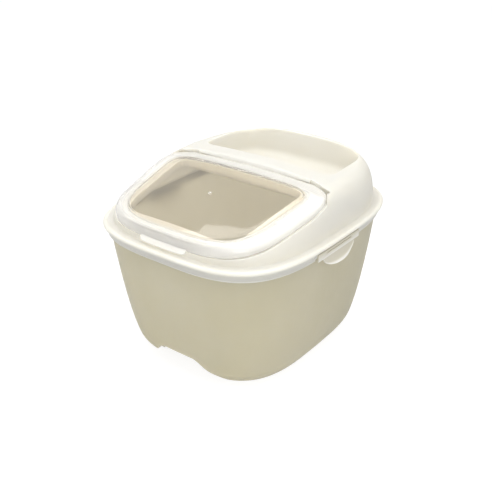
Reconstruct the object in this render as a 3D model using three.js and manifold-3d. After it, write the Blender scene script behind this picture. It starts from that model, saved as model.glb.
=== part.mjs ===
// Hooded litter box: a deep tub, a lift-off hood with an open tray at the rear, a clear flip-up flap over
// the hood's top opening, and a hinged side latch at the left and at the right. Millimetres, +Z up, front
// towards -Y, origin on the floor under the middle of the tub.
import * as THREE from "three";
import { ParametricGeometry } from "three/addons/geometries/ParametricGeometry.js";
import { mergeVertices } from "three/addons/utils/BufferGeometryUtils.js";
import Module from "manifold-3d";

const wasm = await Module();
wasm.setup();

// ---------------------------------------------------------------- driving dimensions
const RIM_HALF_X = 200; // half width over the hood's bead
const RIM_HALF_Y = 233.5; // half depth over the hood's bead
const RIM_POWER = 3.44; // squareness of the rim outline (2 is an ellipse)
const BEAD_Z = 247.5; // height of the bead's widest line
const TUB_TOP_Z = 247.2; // top edge of the tub's wall, inside the hood's skirt
const TUB_INSET = 9.2; // from the bead's outline in to the tub's wall at its top
const BASE_HALF_X = 142;
const BASE_HALF_Y = 171;
const BASE_POWER = 3.15;
const BASE_SHIFT_Y = 3.6; // the base sits slightly behind the rim's centre
const TUB_FLARE = 0.42; // exponent of the wall's flare: steep at the top, turning in at the base
const FOOT_BAND = 0.1; // height fraction below which the wall runs straight down to the floor
const FOOT_SOFTNESS = 0.06; // how softly the flare and the straight band below it meet
const TUB_WALL = 3;
const FLOOR_Z = 38; // underside of the raised floor
const FOOT_WIDTH = 8; // width of the foot ring that the tub stands on
const ARCH_HEIGHT = 44.5; // hand recess in the front of the base
const ARCH_HALF_WIDTH = 90.5;
const ARCH_RAMP = 61;
const ARCH_REAR_Y = -150; // how far in the recess runs, into the hollow under the floor
const CORE_TAPER = 6; // how much the hollow under the floor narrows upwards
const CORE_ROUND = 4; // rounding of its upper edge

const HOOD_WALL = 3;
const SKIRT_BOTTOM_Z = 230.5;
const SHELF_INSET = 17; // from the bead's outline in to the foot of the hood's wall
const SHELF_Z = 251;
const SHOULDER_SOFT = 1.78; // squareness of the shoulder's section beside the flap
const SHOULDER_FULL = 2.65; // and behind it
const TOP_SLOPE = 0.2; // rise of the hood's top per millimetre towards the rear
const SLOPE_Y = -100; // station at which the sloping heights below are stated
const PANEL_Z = 309; // flap's raised panel
const EDGE_Z = 290; // flap's outer edge
const LIP_Z = 302; // lip around the hood's top opening
const PANEL_CROWN = 6.6; // how much lower the panel is at 150 mm from the symmetry plane
const EDGE_CROWN = 1;
const LOBE_RISE = 4.5; // how much the flap's edge rises over its slope at the rear lobes
const CROWN_AT = 150;
const REAR_CROWN = 6.6;
const CREST_POWER = 3; // squareness of the hood's crest around the tray
const TOP_Z = 329; // crest of the rear rim at the symmetry plane

const AXIS_Y = 0; // flap hinge line
const AXIS_Z = 311.5;
const FLAP_WALL = 2.4;
const PANEL_STEP = 2.6; // height of the raised panel over the frame around it
const FLAP_LIP = 5; // depth of the flap's turned-down edge
const FRAME_POWER = 2.3; // squareness of the rounded frame's section
const NUB_RADIUS = 3.2; // moulding point on the panel
const NUB_SINK = 2.1;
const SEAT_GAP = 1.6; // air between the flap and the hood's seat at the flap's edge
const PANEL_GAP = 3.6; // and under the edge of the panel
const RIM_GAP = 1.2; // air around the flap's edge
const STRIP_REAR_Y = 10.5; // rear edge of the flap between its two rear lobes
const BAR_HALF = 119.5; // the tray's front wall fills the notch between the lobes
const NOTCH_HALF = 120.5;
const BAR_FRONT_Y = 12;
const TROUGH_RADIUS = 15.4; // channel in front of the bar, which the strip's rear edge turns down into
const LOBE_RADIUS = 17.5; // the same for a lobe, at its inner side
const LOBE_END_RADIUS = 6.9;
const LOBE_END_X = 165;
const PIN_RADIUS = 1.8;
const PIN_CLEARANCE = 0.3;
const KNUCKLE_RADIUS = 4.2;
const KNUCKLE_X = 96; // middle of each flap knuckle
const KNUCKLE_HALF = 7;
const EAR_LENGTH = 7;
const EAR_GAP = 0.6;
const EAR_POST_HALF = 2.8;
const WEB_HEIGHT = 6.4; // from the hinge line up into the flap
const TAB_HALF = 48; // lift tab on the flap's front edge
const TAB_WALL = 1.8;
const TAB_LENGTH = 11;
const TAB_TILT = 50; // degrees that the tab slopes down
const TAB_ROUND = 8;
const TAB_ROOT = [0.6, 1.7]; // how far inside the flap's front edge, and under it, the tab starts

const TRAY_DEPTH = 55;
const TRAY_FRONT_Y = 47;
const CREST = 3.4; // thickness of the tray's wall at its rim
const BAR_ROUND = [16, 12]; // height and depth of the rounding of the tray's front wall
const COLLAR_DEPTH = 14; // how far the lip around the top opening reaches down

const LATCH_Y = -10; // middle of each latch along the side
const LATCH_HALF = 62; // half length of each latch
const LATCH_GAP = 1.2; // air at each end of the latch, in the gap in the skirt that it hangs in
const LATCH_AXIS_X = 193.2;
const LATCH_AXIS_Z = 240.6;
const LATCH_BARREL = 2.4;
const LATCH_FACE_X = 198;
const LATCH_WALL = 2.6;
const LATCH_ROUND = [1.6, 1]; // rounding of the bar's upper and lower outer edge
const LATCH_TOP_Z = 242.2;
const LATCH_BOTTOM_Z = 229.5;
const LATCH_WINDOW_TOP_Z = 245.9;
const LATCH_PIN_RADIUS = 1;
const LATCH_PIN_REACH = 6; // how far the pin runs into the skirt at each end
const LUG_X = [191.2, 195.6]; // thicker stretches of the skirt that hold the pin's ends
const LUG_Z = [237.6, 244.6];
const LUG_END = 1.5; // plastic beyond the end of the pin
const GROOVE = [238.6, 240.4]; // finger groove along the latch's face
const GROOVE_HALF = 37;
const GROOVE_DEPTH = 1.1;
const FINGER_BOTTOM_Z = 211;
const FINGER_FLARE = 6; // how far the finger tab's lower edge stands out
const FINGER_SPAN = 46; // half length of the finger tab
const FINGER_POWER = [2.4, 2.2]; // squareness of its outline along and down
const HOOK_DEPTH = 1.4; // how far the latch's hook reaches in over the catch rib's face
const HOOK_AIR = 0.6; // between the hook and the rib
const CATCH_TOP_Z = 230; // rib on the tub that the latch hooks under
const CATCH_HEIGHT = 3.4;
const CATCH_HALF = 36;
const CATCH_X = 193.2;

// ---------------------------------------------------------------- outlines
// Each outline is a closed curve seen from above, squarer than an ellipse. Its half width may change with y,
// and its front and rear halves may have their own squareness.
const rimOutline = {
  rearHalf: RIM_HALF_X,
  frontHalf: RIM_HALF_X,
  rearY: RIM_HALF_Y,
  frontY: -RIM_HALF_Y,
  rearPower: RIM_POWER,
  frontPower: RIM_POWER,
};
const flapEdge = {
  rearHalf: 184,
  frontHalf: 149,
  rearY: 19.5,
  frontY: -217,
  rearPower: 4.6,
  frontPower: 3.5,
};
const panelStep = {
  rearHalf: 148,
  frontHalf: 125,
  rearY: -15,
  frontY: -207,
  rearPower: 8,
  frontPower: 3.2,
};
const openingLip = {
  rearHalf: 132,
  frontHalf: 116,
  rearY: -17,
  frontY: -192,
  rearPower: 14,
  frontPower: 5.3,
};
const trayRim = {
  rearHalf: 131,
  frontHalf: 139,
  rearY: 190.5,
  frontY: TRAY_FRONT_Y,
  rearPower: 3.6,
  frontPower: 9,
};

function signedPower(value, exponent) {
  return Math.sign(value) * Math.abs(value) ** exponent;
}

function blend(from, to, amount) {
  return from + (to - from) * amount;
}

function smooth(edge0, edge1, value) {
  const t = Math.min(1, Math.max(0, (value - edge0) / (edge1 - edge0)));
  return t * t * (3 - 2 * t);
}

// The smaller of two values, with the corner between them rounded off.
function softLeast(a, b, softness) {
  const near = Math.max(0, softness - Math.abs(a - b)) / softness;
  return Math.min(a, b) - (near * near * softness) / 4;
}

// The outline's point at a turn of 0 to 1, moved outwards by grow.
function outlinePoint(outline, turn, grow = 0) {
  const angle = turn * 2 * Math.PI;
  const depth = Math.sin(angle);
  const power = depth > 0 ? outline.rearPower : outline.frontPower;
  const middle = (outline.rearY + outline.frontY) / 2;
  const half = (outline.rearY - outline.frontY) / 2;
  const unit = signedPower(depth, 2 / power);
  const y = middle + (half + grow) * unit;
  const along = (1 + unit) / 2;
  const halfWidth = blend(outline.frontHalf, outline.rearHalf, along) + grow;
  return [halfWidth * signedPower(Math.cos(angle), 2 / power), y];
}

// ---------------------------------------------------------------- solids
// A closed body from a stack of rows: each row gives the point at a turn of 0 to 1. A row that gives one
// point only closes the body like the pole of a globe.
function bodyFromRows(rows, around) {
  const last = rows.length - 1;
  const place = (turn, level, target) => {
    const row = rows[Math.round(level * last)];
    target.set(...row(turn >= 1 ? 0 : turn));
  };
  return solid(new ParametricGeometry(place, around, last));
}

function solid(geometry) {
  const bare = geometry.clone();
  bare.deleteAttribute("normal");
  bare.deleteAttribute("uv");
  const merged = mergeVertices(bare, 1e-3);
  const index = merged.index.array;
  const build = (order) => {
    const triangles = [];
    for (let i = 0; i < index.length; i += 3) {
      const corners = order.map((k) => index[i + k]);
      if (new Set(corners).size === 3) triangles.push(...corners);
    }
    const vertProperties = Float32Array.from(merged.attributes.position.array);
    const triVerts = Uint32Array.from(triangles);
    return new wasm.Manifold(new wasm.Mesh({ numProp: 3, vertProperties, triVerts }));
  };
  const made = build([0, 1, 2]);
  return made.volume() > 0 ? made : build([0, 2, 1]);
}

function rod(radius, from, to, axis, [x, y, z], sides = 24, endRadius = radius) {
  const geometry = new THREE.CylinderGeometry(endRadius, radius, to - from, sides);
  const middle = (from + to) / 2;
  if (axis === "x") geometry.rotateZ(-Math.PI / 2).translate(middle, y, z);
  else geometry.translate(x, middle, z);
  return solid(geometry);
}

function block([x0, x1], [y0, y1], [z0, z1]) {
  const geometry = new THREE.BoxGeometry(x1 - x0, y1 - y0, z1 - z0);
  return solid(geometry.translate((x0 + x1) / 2, (y0 + y1) / 2, (z0 + z1) / 2));
}

function mirrored(body) {
  return body.mirror([1, 0, 0]);
}

function joined(bodies) {
  return bodies.reduce((sum, body) => sum.add(body));
}

const pole = (z, y = 0) => () => [0, y, z];

// ---------------------------------------------------------------- tub
// The outer wall at a height fraction of 0 (floor) to 1 (top of the wall), moved outwards by grow.
function tubWall(turn, fraction, grow = 0) {
  const straight = fraction * FOOT_BAND ** (TUB_FLARE - 1);
  const flare = softLeast(fraction ** TUB_FLARE, straight, FOOT_SOFTNESS);
  const halfX = blend(BASE_HALF_X, RIM_HALF_X - TUB_INSET, flare);
  const halfY = blend(BASE_HALF_Y, RIM_HALF_Y - TUB_INSET, flare);
  const power = blend(BASE_POWER, RIM_POWER, fraction);
  const shift = BASE_SHIFT_Y * (1 - flare);
  const outline = {
    rearHalf: halfX,
    frontHalf: halfX,
    rearY: shift + halfY,
    frontY: shift - halfY,
    rearPower: power,
    frontPower: power,
  };
  return outlinePoint(outline, turn, grow);
}

const TUB_LEVELS = [0, 0.05, 0.085, 0.105, 0.14, 0.2, 0.3, 0.45, 0.65, 0.85, 1];
const TUB_AROUND = 72;
const PIN_SIDES = 16;

function tubRow(fraction, grow, z) {
  return (turn) => [...tubWall(turn, fraction, grow), z];
}

// The hand recess's section, across the front and up, grown by a wall's thickness for the cover over it.
function archSolid(grow) {
  const shape = new THREE.Shape();
  const steps = 9;
  const reach = ARCH_HALF_WIDTH + grow;
  const height = ARCH_HEIGHT + grow;
  const below = -1 - grow;
  shape.moveTo(reach, below);
  for (const side of [1, -1])
    for (let i = 0; i <= steps; i++) {
      const step = side > 0 ? i : steps - i;
      const rise = smooth(0, 1, step / steps);
      shape.lineTo(side * (reach - (ARCH_RAMP * step) / steps), height * rise);
    }
  shape.lineTo(-reach, below);
  const rearY = ARCH_REAR_Y + grow;
  const geometry = new THREE.ExtrudeGeometry(shape, { depth: rearY + RIM_HALF_Y, bevelEnabled: false });
  return solid(geometry.rotateX(Math.PI / 2).translate(0, rearY, 0));
}

// The hollow under the raised floor, inside the foot ring.
function underFloor(grow) {
  const ring = (inset, z) => tubRow(0, -FOOT_WIDTH - inset + grow, z);
  const top = FLOOR_Z + grow;
  const below = -FOOT_WIDTH;
  return bodyFromRows(
    [
      pole(below),
      ring(0, below),
      ring(0, 0),
      ring(CORE_TAPER, top - CORE_ROUND),
      ring(CORE_TAPER + CORE_ROUND, top),
      pole(top),
    ],
    TUB_AROUND,
  );
}

function makeTub() {
  const outer = bodyFromRows(
    [pole(0), ...TUB_LEVELS.map((level) => tubRow(level, 0, level * TUB_TOP_Z)), pole(TUB_TOP_Z)],
    TUB_AROUND,
  );
  const inner = bodyFromRows(
    [
      pole(TUB_WALL),
      ...TUB_LEVELS.map((level) => tubRow(level, -TUB_WALL, TUB_WALL + level * TUB_TOP_Z)),
      pole(TUB_TOP_Z + TUB_WALL),
    ],
    TUB_AROUND,
  );
  const cavity = inner.subtract(underFloor(TUB_WALL)).subtract(archSolid(TUB_WALL));
  const catchRib = block(
    [RIM_HALF_X - TUB_INSET - TUB_WALL, CATCH_X],
    [LATCH_Y - CATCH_HALF, LATCH_Y + CATCH_HALF],
    [CATCH_TOP_Z - CATCH_HEIGHT, CATCH_TOP_Z],
  );
  const shell = outer.add(catchRib).add(mirrored(catchRib));
  return shell.subtract(cavity).subtract(underFloor(0)).subtract(archSolid(0));
}

// ---------------------------------------------------------------- sloping heights of the top
const rise = (y) => TOP_SLOPE * (y - SLOPE_Y);
const crown = (drop, x) => drop * (x / CROWN_AT) ** 2;
const panelHeight = (x, y) => PANEL_Z + rise(y) - crown(PANEL_CROWN, x);
const lipHeight = (x, y) => LIP_Z + rise(y) - crown(PANEL_CROWN, x);
const lobeRise = (y) => LOBE_RISE * smooth(-60, 0, y);
const edgeHeight = (x, y) => EDGE_Z + rise(y) + lobeRise(y) - crown(EDGE_CROWN, x);

// ---------------------------------------------------------------- flap surface
// A point of the flap's upper skin (or the same skin set inwards and lowered). Stations 0 to 1 run over the
// raised panel from its middle to its edge; stations 1 to 2 run from the foot of the step over the rounded
// frame to the flap's edge.
function flapSkin(turn, station, inset = 0, drop = () => 0) {
  const middleY = (panelStep.rearY + panelStep.frontY) / 2;
  if (station <= 1) {
    const [x, y] = outlinePoint(panelStep, turn, -inset);
    const px = x * station;
    const py = blend(middleY, y, station);
    return [px, py, panelHeight(px, py) - drop(0)];
  }
  const turnOver = ((station - 1) * Math.PI) / 2;
  const squareness = 2 / FRAME_POWER;
  const across = Math.sin(turnOver) ** squareness;
  const down = Math.cos(turnOver) ** squareness;
  const [ax, ay] = outlinePoint(panelStep, turn, 1 - inset);
  const [bx, by] = outlinePoint(flapEdge, turn, -inset);
  const high = panelHeight(ax, ay) - PANEL_STEP;
  const low = edgeHeight(bx, by);
  return [blend(ax, bx, across), blend(ay, by, across), blend(low, high, down) - drop(across)];
}

const FLAP_AROUND = 64;
const FRAME_STATIONS = [1.0001, 1.25, 1.5, 1.75, 2];
const PANEL_STATIONS = [0.55, 0.985];
const SEAT_STATIONS = [1.0001, 1.4, 1.75, 2];

const skinRow = (station, inset, drop) => (turn) => flapSkin(turn, station, inset, drop);

function edgeRow(grow, below) {
  return (turn) => {
    const [x, y] = outlinePoint(flapEdge, turn, grow(turn));
    const [ex, ey] = outlinePoint(flapEdge, turn);
    return [x, y, edgeHeight(ex, ey) - below];
  };
}

function flapShell() {
  const wall = () => FLAP_WALL;
  const none = () => 0;
  const middleY = (panelStep.rearY + panelStep.frontY) / 2;
  const under = [...FRAME_STATIONS].reverse();
  return bodyFromRows(
    [
      pole(panelHeight(0, middleY), middleY),
      ...PANEL_STATIONS.map((station) => skinRow(station, 0, none)),
      ...FRAME_STATIONS.map((station) => skinRow(station, 0, none)),
      edgeRow(() => 0, FLAP_LIP),
      edgeRow(() => -FLAP_WALL, FLAP_LIP),
      ...under.map((station) => skinRow(station, FLAP_WALL, wall)),
      ...[...PANEL_STATIONS].reverse().map((station) => skinRow(station, FLAP_WALL, wall)),
      pole(panelHeight(0, middleY) - FLAP_WALL, middleY),
    ],
    FLAP_AROUND,
  );
}

// The space that the hood leaves for the flap: everything above the seat. Grown, it is the hood's wall
// under it.
function recess(grow) {
  const lower = (across) => FLAP_WALL + blend(PANEL_GAP, SEAT_GAP, across) + grow;
  const rebate = FLAP_WALL + RIM_GAP - grow;
  const foot = FLAP_LIP + RIM_GAP + grow;
  const middleY = (panelStep.rearY + panelStep.frontY) / 2;
  const open = 40;
  const outward = (turn) => {
    const [, y] = outlinePoint(flapEdge, turn);
    return blend(open, RIM_GAP + grow, smooth(-50, -12, y));
  };
  return bodyFromRows(
    [
      pole(panelHeight(0, middleY) - lower(0), middleY),
      ...SEAT_STATIONS.map((station) => skinRow(station, rebate, lower)),
      edgeRow(() => -rebate, foot),
      edgeRow(outward, foot),
      edgeRow(outward, -TOP_Z / 2),
      pole(PANEL_Z + TOP_Z / 2, middleY),
    ],
    FLAP_AROUND,
  );
}

// ---------------------------------------------------------------- hood surfaces
// Height of the hood's full top at the symmetry plane: a slope that eases into the level rear rim.
function topHeight(y) {
  const slope = Math.min(PANEL_Z + rise(y), PANEL_Z + rise(panelStep.rearY));
  return blend(slope, TOP_Z, smooth(-15, 40, y));
}

// The outline where the hood's shoulder ends and its top begins: the panel's outline in front, the crest
// behind.
function topOutline(turn, grow = 0) {
  const angle = turn * 2 * Math.PI;
  const depth = Math.sin(angle);
  const startY = panelStep.rearY;
  const rear = depth >= 0;
  const power = rear ? CREST_POWER : panelStep.frontPower;
  const reach = rear ? trayRim.rearY + CREST - startY : panelStep.frontY - startY;
  const unit = Math.abs(depth) ** (2 / power);
  const y = startY + (reach + Math.sign(reach) * grow) * unit;
  const half = rear
    ? blend(panelStep.rearHalf, trayRim.rearHalf + CREST, smooth(startY, 160, y))
    : blend(panelStep.rearHalf, panelStep.frontHalf, unit);
  return [(half + grow) * signedPower(Math.cos(angle), 2 / power), y];
}

// Squareness of the shoulder's section: soft beside the flap, fuller behind it.
function shoulderPower(y) {
  const amount = y < -115 ? smooth(-130, -200, y) : smooth(-100, -25, y);
  return blend(SHOULDER_SOFT, SHOULDER_FULL, amount);
}

// A point on the shoulder: amount 0 is the foot of the hood's wall, 1 the edge of its top.
function shoulderPoint(turn, amount, inset) {
  const [fx, fy] = outlinePoint(rimOutline, turn, -SHELF_INSET - inset);
  const [tx, ty] = topOutline(turn, -inset);
  const squareness = 2 / shoulderPower(blend(fy, ty, 0.5));
  const angle = (amount * Math.PI) / 2;
  const across = 1 - Math.cos(angle) ** squareness;
  const up = Math.sin(angle) ** squareness;
  const top = topHeight(ty) - crown(REAR_CROWN, tx) - inset;
  return [blend(fx, tx, across), blend(fy, ty, across), blend(SHELF_Z - inset, top, up)];
}

function topRow(fraction, inset) {
  return (turn) => {
    const [x, y] = topOutline(turn, -inset);
    const px = x * fraction;
    const py = y * fraction;
    return [px, py, topHeight(py) - crown(REAR_CROWN, px) - inset];
  };
}

const HOOD_AROUND = 68;
const SHOULDER_LEVELS = [0, 0.08, 0.2, 0.34, 0.5, 0.66, 0.83, 1];
const INNER_LEVELS = [0, 0.2, 0.5, 0.8, 1];
const rimRow = (inset, z) => (turn) => [...outlinePoint(rimOutline, turn, -inset), z];

function hoodEnvelope(inset, skirtRows) {
  const levels = inset ? INNER_LEVELS : SHOULDER_LEVELS;
  return bodyFromRows(
    [
      ...skirtRows,
      ...levels.map((level) => (turn) => shoulderPoint(turn, level, inset)),
      ...[0.8, 0.45].map((fraction) => topRow(fraction, inset)),
      pole(topHeight(0) - inset),
    ],
    HOOD_AROUND,
  );
}

// Upright prism on an outline, between two heights that may slope.
function prism(outline, grow, low, high, around = 52) {
  const row = (height) => (turn) => {
    const [x, y] = outlinePoint(outline, turn, grow);
    return [x, y, height(x, y)];
  };
  const middleY = (outline.rearY + outline.frontY) / 2;
  const ends = [low, high].map((height) => pole(height(0, middleY), middleY));
  return bodyFromRows([ends[0], row(low), row(high), ends[1]], around);
}

const TRAY_AROUND = 48;

// The tray's hollow: steep sides, a wide fillet and a floor that rises softly into the rear wall.
function trayHollow(grow) {
  const above = 30;
  const rows = [
    [0, above],
    [0, 0],
    [1, -9],
    [2.6, -30],
    [4.6, -43],
    [9, -51],
    [16, -54.2],
    [27, -TRAY_DEPTH],
  ];
  const middleY = (trayRim.rearY + trayRim.frontY) / 2;
  const ring = (inset, height) => (turn) => {
    const [x, y] = outlinePoint(trayRim, turn, grow - inset);
    return [x, y, TOP_Z + height - grow];
  };
  return bodyFromRows(
    [
      pole(TOP_Z + above, middleY),
      ...rows.map(([inset, height]) => ring(inset, height)),
      pole(TOP_Z - TRAY_DEPTH - grow, middleY),
    ],
    TRAY_AROUND,
  );
}

// The tray's front wall, whose rounded upper edge fills the notch between the flap's lobes.
function bar(inset) {
  const y = BAR_FRONT_Y + inset;
  const shape = new THREE.Shape();
  const [roundHeight, roundDepth] = BAR_ROUND;
  const low = AXIS_Z - 30;
  const high = TOP_Z + 5;
  const behind = TRAY_FRONT_Y + 10;
  shape.moveTo(y, low);
  shape.lineTo(y, TOP_Z - roundHeight);
  shape.quadraticCurveTo(y, TOP_Z - 2.5, y + roundDepth, TOP_Z + 0.5);
  shape.lineTo(y + roundDepth, high);
  shape.lineTo(behind, high);
  shape.lineTo(behind, low);
  const half = BAR_HALF - inset;
  const settings = { depth: 2 * half, bevelEnabled: false, curveSegments: 7 };
  const geometry = new THREE.ExtrudeGeometry(shape, settings);
  // the section's first axis becomes the part's y, its second z, and the extrusion runs along x
  geometry.applyMatrix4(new THREE.Matrix4().makeBasis(
    new THREE.Vector3(0, 1, 0),
    new THREE.Vector3(0, 0, 1),
    new THREE.Vector3(1, 0, 0),
  ));
  return solid(geometry.translate(-half, 0, 0));
}

// Channel in front of the tray's wall, with deeper pockets at both ends for the flap's rear lobes.
function hingeTrough(grow) {
  const axis = [0, AXIS_Y, AXIS_Z];
  const sides = 32;
  const middle = rod(TROUGH_RADIUS + grow, -BAR_HALF - 1, BAR_HALF + 1, "x", axis, sides);
  const [start, end] = [BAR_HALF - grow, LOBE_END_X + grow];
  const lobe = rod(LOBE_RADIUS + grow, start, end, "x", axis, sides, LOBE_END_RADIUS + grow);
  const wide = LOBE_END_X + 10;
  const frontY = -12 - grow;
  const above = block([-wide, wide], [frontY, TROUGH_RADIUS * 2], [AXIS_Z - 30, TOP_Z]);
  return joined([middle, lobe, mirrored(lobe)]).intersect(above);
}

function ears(radius, bore) {
  const parts = [];
  for (const side of [-1, 1])
    for (const end of [-1, 1]) {
      const near = KNUCKLE_X + end * (KNUCKLE_HALF + EAR_GAP);
      const far = near + end * EAR_LENGTH;
      const [a, b] = [side * near, side * far].sort((p, q) => p - q);
      const barrel = rod(radius, a, b, "x", [0, AXIS_Y, AXIS_Z]);
      const postY = [AXIS_Y - EAR_POST_HALF, AXIS_Y + EAR_POST_HALF];
      const post = block([a, b], postY, [AXIS_Z - TROUGH_RADIUS - 1, AXIS_Z]);
      parts.push(barrel.add(post).subtract(rod(bore, a - 1, b + 1, "x", [0, AXIS_Y, AXIS_Z])));
    }
  return joined(parts);
}

function makeHood() {
  const outer = hoodEnvelope(0, [
    pole(SKIRT_BOTTOM_Z),
    rimRow(7.6, SKIRT_BOTTOM_Z),
    rimRow(7, SKIRT_BOTTOM_Z + 1),
    rimRow(2.6, BEAD_Z - 4.5),
    rimRow(0.6, BEAD_Z - 2.8),
    rimRow(0, BEAD_Z),
    rimRow(1.2, BEAD_Z + 2.8),
    rimRow(4, BEAD_Z + 4.2),
    rimRow(8, BEAD_Z + 3.6),
    rimRow(13.5, BEAD_Z + 2.8),
  ]);
  const inner = hoodEnvelope(HOOD_WALL, [
    pole(SKIRT_BOTTOM_Z - 5),
    rimRow(9.7, SKIRT_BOTTOM_Z - 5),
    rimRow(9.7, SKIRT_BOTTOM_Z),
    rimRow(5.5, BEAD_Z - 3.5),
    rimRow(4, BEAD_Z - 1),
    rimRow(7, BEAD_Z + 0.2),
    rimRow(16, BEAD_Z),
  ]);
  const collar = prism(openingLip, HOOD_WALL, (x, y) => lipHeight(x, y) - COLLAR_DEPTH, lipHeight);
  const opening = prism(openingLip, 0, () => SHELF_Z - 40, () => TOP_Z + 20);
  const cavity = inner
    .subtract(recess(HOOD_WALL).subtract(bar(HOOD_WALL)))
    .subtract(hingeTrough(HOOD_WALL))
    .subtract(trayHollow(HOOD_WALL))
    .subtract(collar);
  const shell = outer.subtract(cavity);
  let hood = shell.subtract(recess(0).subtract(bar(0))).subtract(hingeTrough(0));
  hood = hood.add(collar.intersect(outer)).subtract(trayHollow(0)).subtract(opening);
  hood = hood.add(ears(KNUCKLE_RADIUS, PIN_RADIUS + PIN_CLEARANCE));
  for (const place of [(body) => body, mirrored]) hood = latchSeat(hood, place);
  return hood;
}

// Gap in the skirt for a latch, with a thicker stretch at each end that holds the latch's pin.
function latchSeat(hood, place) {
  const near = LATCH_HALF + LATCH_GAP;
  const far = near + LATCH_PIN_REACH;
  const bore = LATCH_PIN_RADIUS + PIN_CLEARANCE;
  const across = [RIM_HALF_X - SHELF_INSET, RIM_HALF_X + SHELF_INSET];
  const gap = block(across, [LATCH_Y - near, LATCH_Y + near], [SKIRT_BOTTOM_Z - 5, LATCH_WINDOW_TOP_Z]);
  const frontLug = block(LUG_X, [LATCH_Y - far - LUG_END, LATCH_Y - near], LUG_Z);
  const rearLug = block(LUG_X, [LATCH_Y + near, LATCH_Y + far + LUG_END], LUG_Z);
  const lugs = frontLug.add(rearLug);
  const axis = [LATCH_AXIS_X, 0, LATCH_AXIS_Z];
  const reach = far + PIN_CLEARANCE;
  const hole = rod(bore, LATCH_Y - reach, LATCH_Y + reach, "y", axis, PIN_SIDES);
  return hood.subtract(place(gap)).add(place(lugs)).subtract(place(hole));
}

// ---------------------------------------------------------------- flap
function makeFlap() {
  const wide = 60;
  const behind = [STRIP_REAR_Y, STRIP_REAR_Y + wide];
  const notch = block([-NOTCH_HALF, NOTCH_HALF], behind, [AXIS_Z - wide, AXIS_Z + wide]);
  const nub = new THREE.SphereGeometry(NUB_RADIUS, 16, 10).translate(0, SLOPE_Y, PANEL_Z - NUB_SINK);
  let flap = flapShell().add(liftTab()).add(solid(nub)).subtract(notch);
  for (const side of [-1, 1]) {
    const ends = [side * KNUCKLE_X - KNUCKLE_HALF, side * KNUCKLE_X + KNUCKLE_HALF];
    const barrel = rod(KNUCKLE_RADIUS, ...ends, "x", [0, AXIS_Y, AXIS_Z]);
    const webY = [AXIS_Y - KNUCKLE_RADIUS, AXIS_Y + KNUCKLE_RADIUS];
    const web = block(ends, webY, [AXIS_Z, AXIS_Z + WEB_HEIGHT]);
    const bore = rod(PIN_RADIUS + PIN_CLEARANCE, ends[0] - 1, ends[1] + 1, "x", [0, AXIS_Y, AXIS_Z]);
    flap = flap.add(barrel.add(web)).subtract(bore);
  }
  return flap;
}

// Lift tab: a thin tongue with rounded corners that slopes down and out from the middle of the front edge.
function liftTab() {
  const round = TAB_ROUND;
  const [inside, below] = TAB_ROOT;
  const shape = new THREE.Shape();
  shape.moveTo(-TAB_HALF, 0);
  shape.lineTo(-TAB_HALF, round - TAB_LENGTH);
  shape.quadraticCurveTo(-TAB_HALF, -TAB_LENGTH, -TAB_HALF + round, -TAB_LENGTH);
  shape.lineTo(TAB_HALF - round, -TAB_LENGTH);
  shape.quadraticCurveTo(TAB_HALF, -TAB_LENGTH, TAB_HALF, round - TAB_LENGTH);
  shape.lineTo(TAB_HALF, 0);
  const settings = { depth: TAB_WALL, bevelEnabled: false, curveSegments: 5 };
  const geometry = new THREE.ExtrudeGeometry(shape, settings);
  geometry.translate(0, 0, -TAB_WALL).rotateX(THREE.MathUtils.degToRad(TAB_TILT));
  return solid(geometry.translate(0, flapEdge.frontY + inside, edgeHeight(0, flapEdge.frontY) - below));
}

// ---------------------------------------------------------------- latch
// Section of the bar across its length, run out along y.
function latchBar() {
  const shape = new THREE.Shape();
  const back = LATCH_FACE_X - LATCH_WALL;
  const [upper, lower] = LATCH_ROUND;
  shape.moveTo(LATCH_AXIS_X, LATCH_AXIS_Z + LATCH_BARREL);
  shape.lineTo(LATCH_FACE_X - upper, LATCH_TOP_Z);
  shape.quadraticCurveTo(LATCH_FACE_X, LATCH_TOP_Z, LATCH_FACE_X, LATCH_TOP_Z - upper);
  shape.lineTo(LATCH_FACE_X, LATCH_BOTTOM_Z + lower);
  shape.quadraticCurveTo(LATCH_FACE_X, LATCH_BOTTOM_Z, LATCH_FACE_X - lower, LATCH_BOTTOM_Z);
  shape.lineTo(back, LATCH_BOTTOM_Z);
  shape.lineTo(back, LATCH_AXIS_Z - LATCH_BARREL);
  shape.lineTo(LATCH_AXIS_X, LATCH_AXIS_Z - LATCH_BARREL);
  const settings = { depth: 2 * LATCH_HALF, bevelEnabled: false, curveSegments: 4 };
  const geometry = new THREE.ExtrudeGeometry(shape, settings).rotateX(Math.PI / 2);
  return solid(geometry.translate(0, LATCH_Y + LATCH_HALF, 0));
}

function makeLatch() {
  const from = LATCH_Y - LATCH_HALF;
  const to = LATCH_Y + LATCH_HALF;
  const axis = [LATCH_AXIS_X, 0, LATCH_AXIS_Z];
  const hookTop = CATCH_TOP_Z - CATCH_HEIGHT - HOOK_AIR;
  const hook = block(
    [CATCH_X - HOOK_DEPTH, LATCH_FACE_X],
    [LATCH_Y - CATCH_HALF + 2, LATCH_Y + CATCH_HALF - 2],
    [hookTop - CATCH_HEIGHT, hookTop],
  );
  const grooveY = [LATCH_Y - GROOVE_HALF, LATCH_Y + GROOVE_HALF];
  const groove = block([LATCH_FACE_X - GROOVE_DEPTH, LATCH_FACE_X + 1], grooveY, GROOVE);
  const bore = rod(LATCH_PIN_RADIUS + PIN_CLEARANCE, from - 1, to + 1, "y", axis, PIN_SIDES);
  const parts = [rod(LATCH_BARREL, from, to, "y", axis, 20), latchBar(), hook, fingerTab(LATCH_FACE_X)];
  return joined(parts).subtract(groove).subtract(bore);
}

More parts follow.
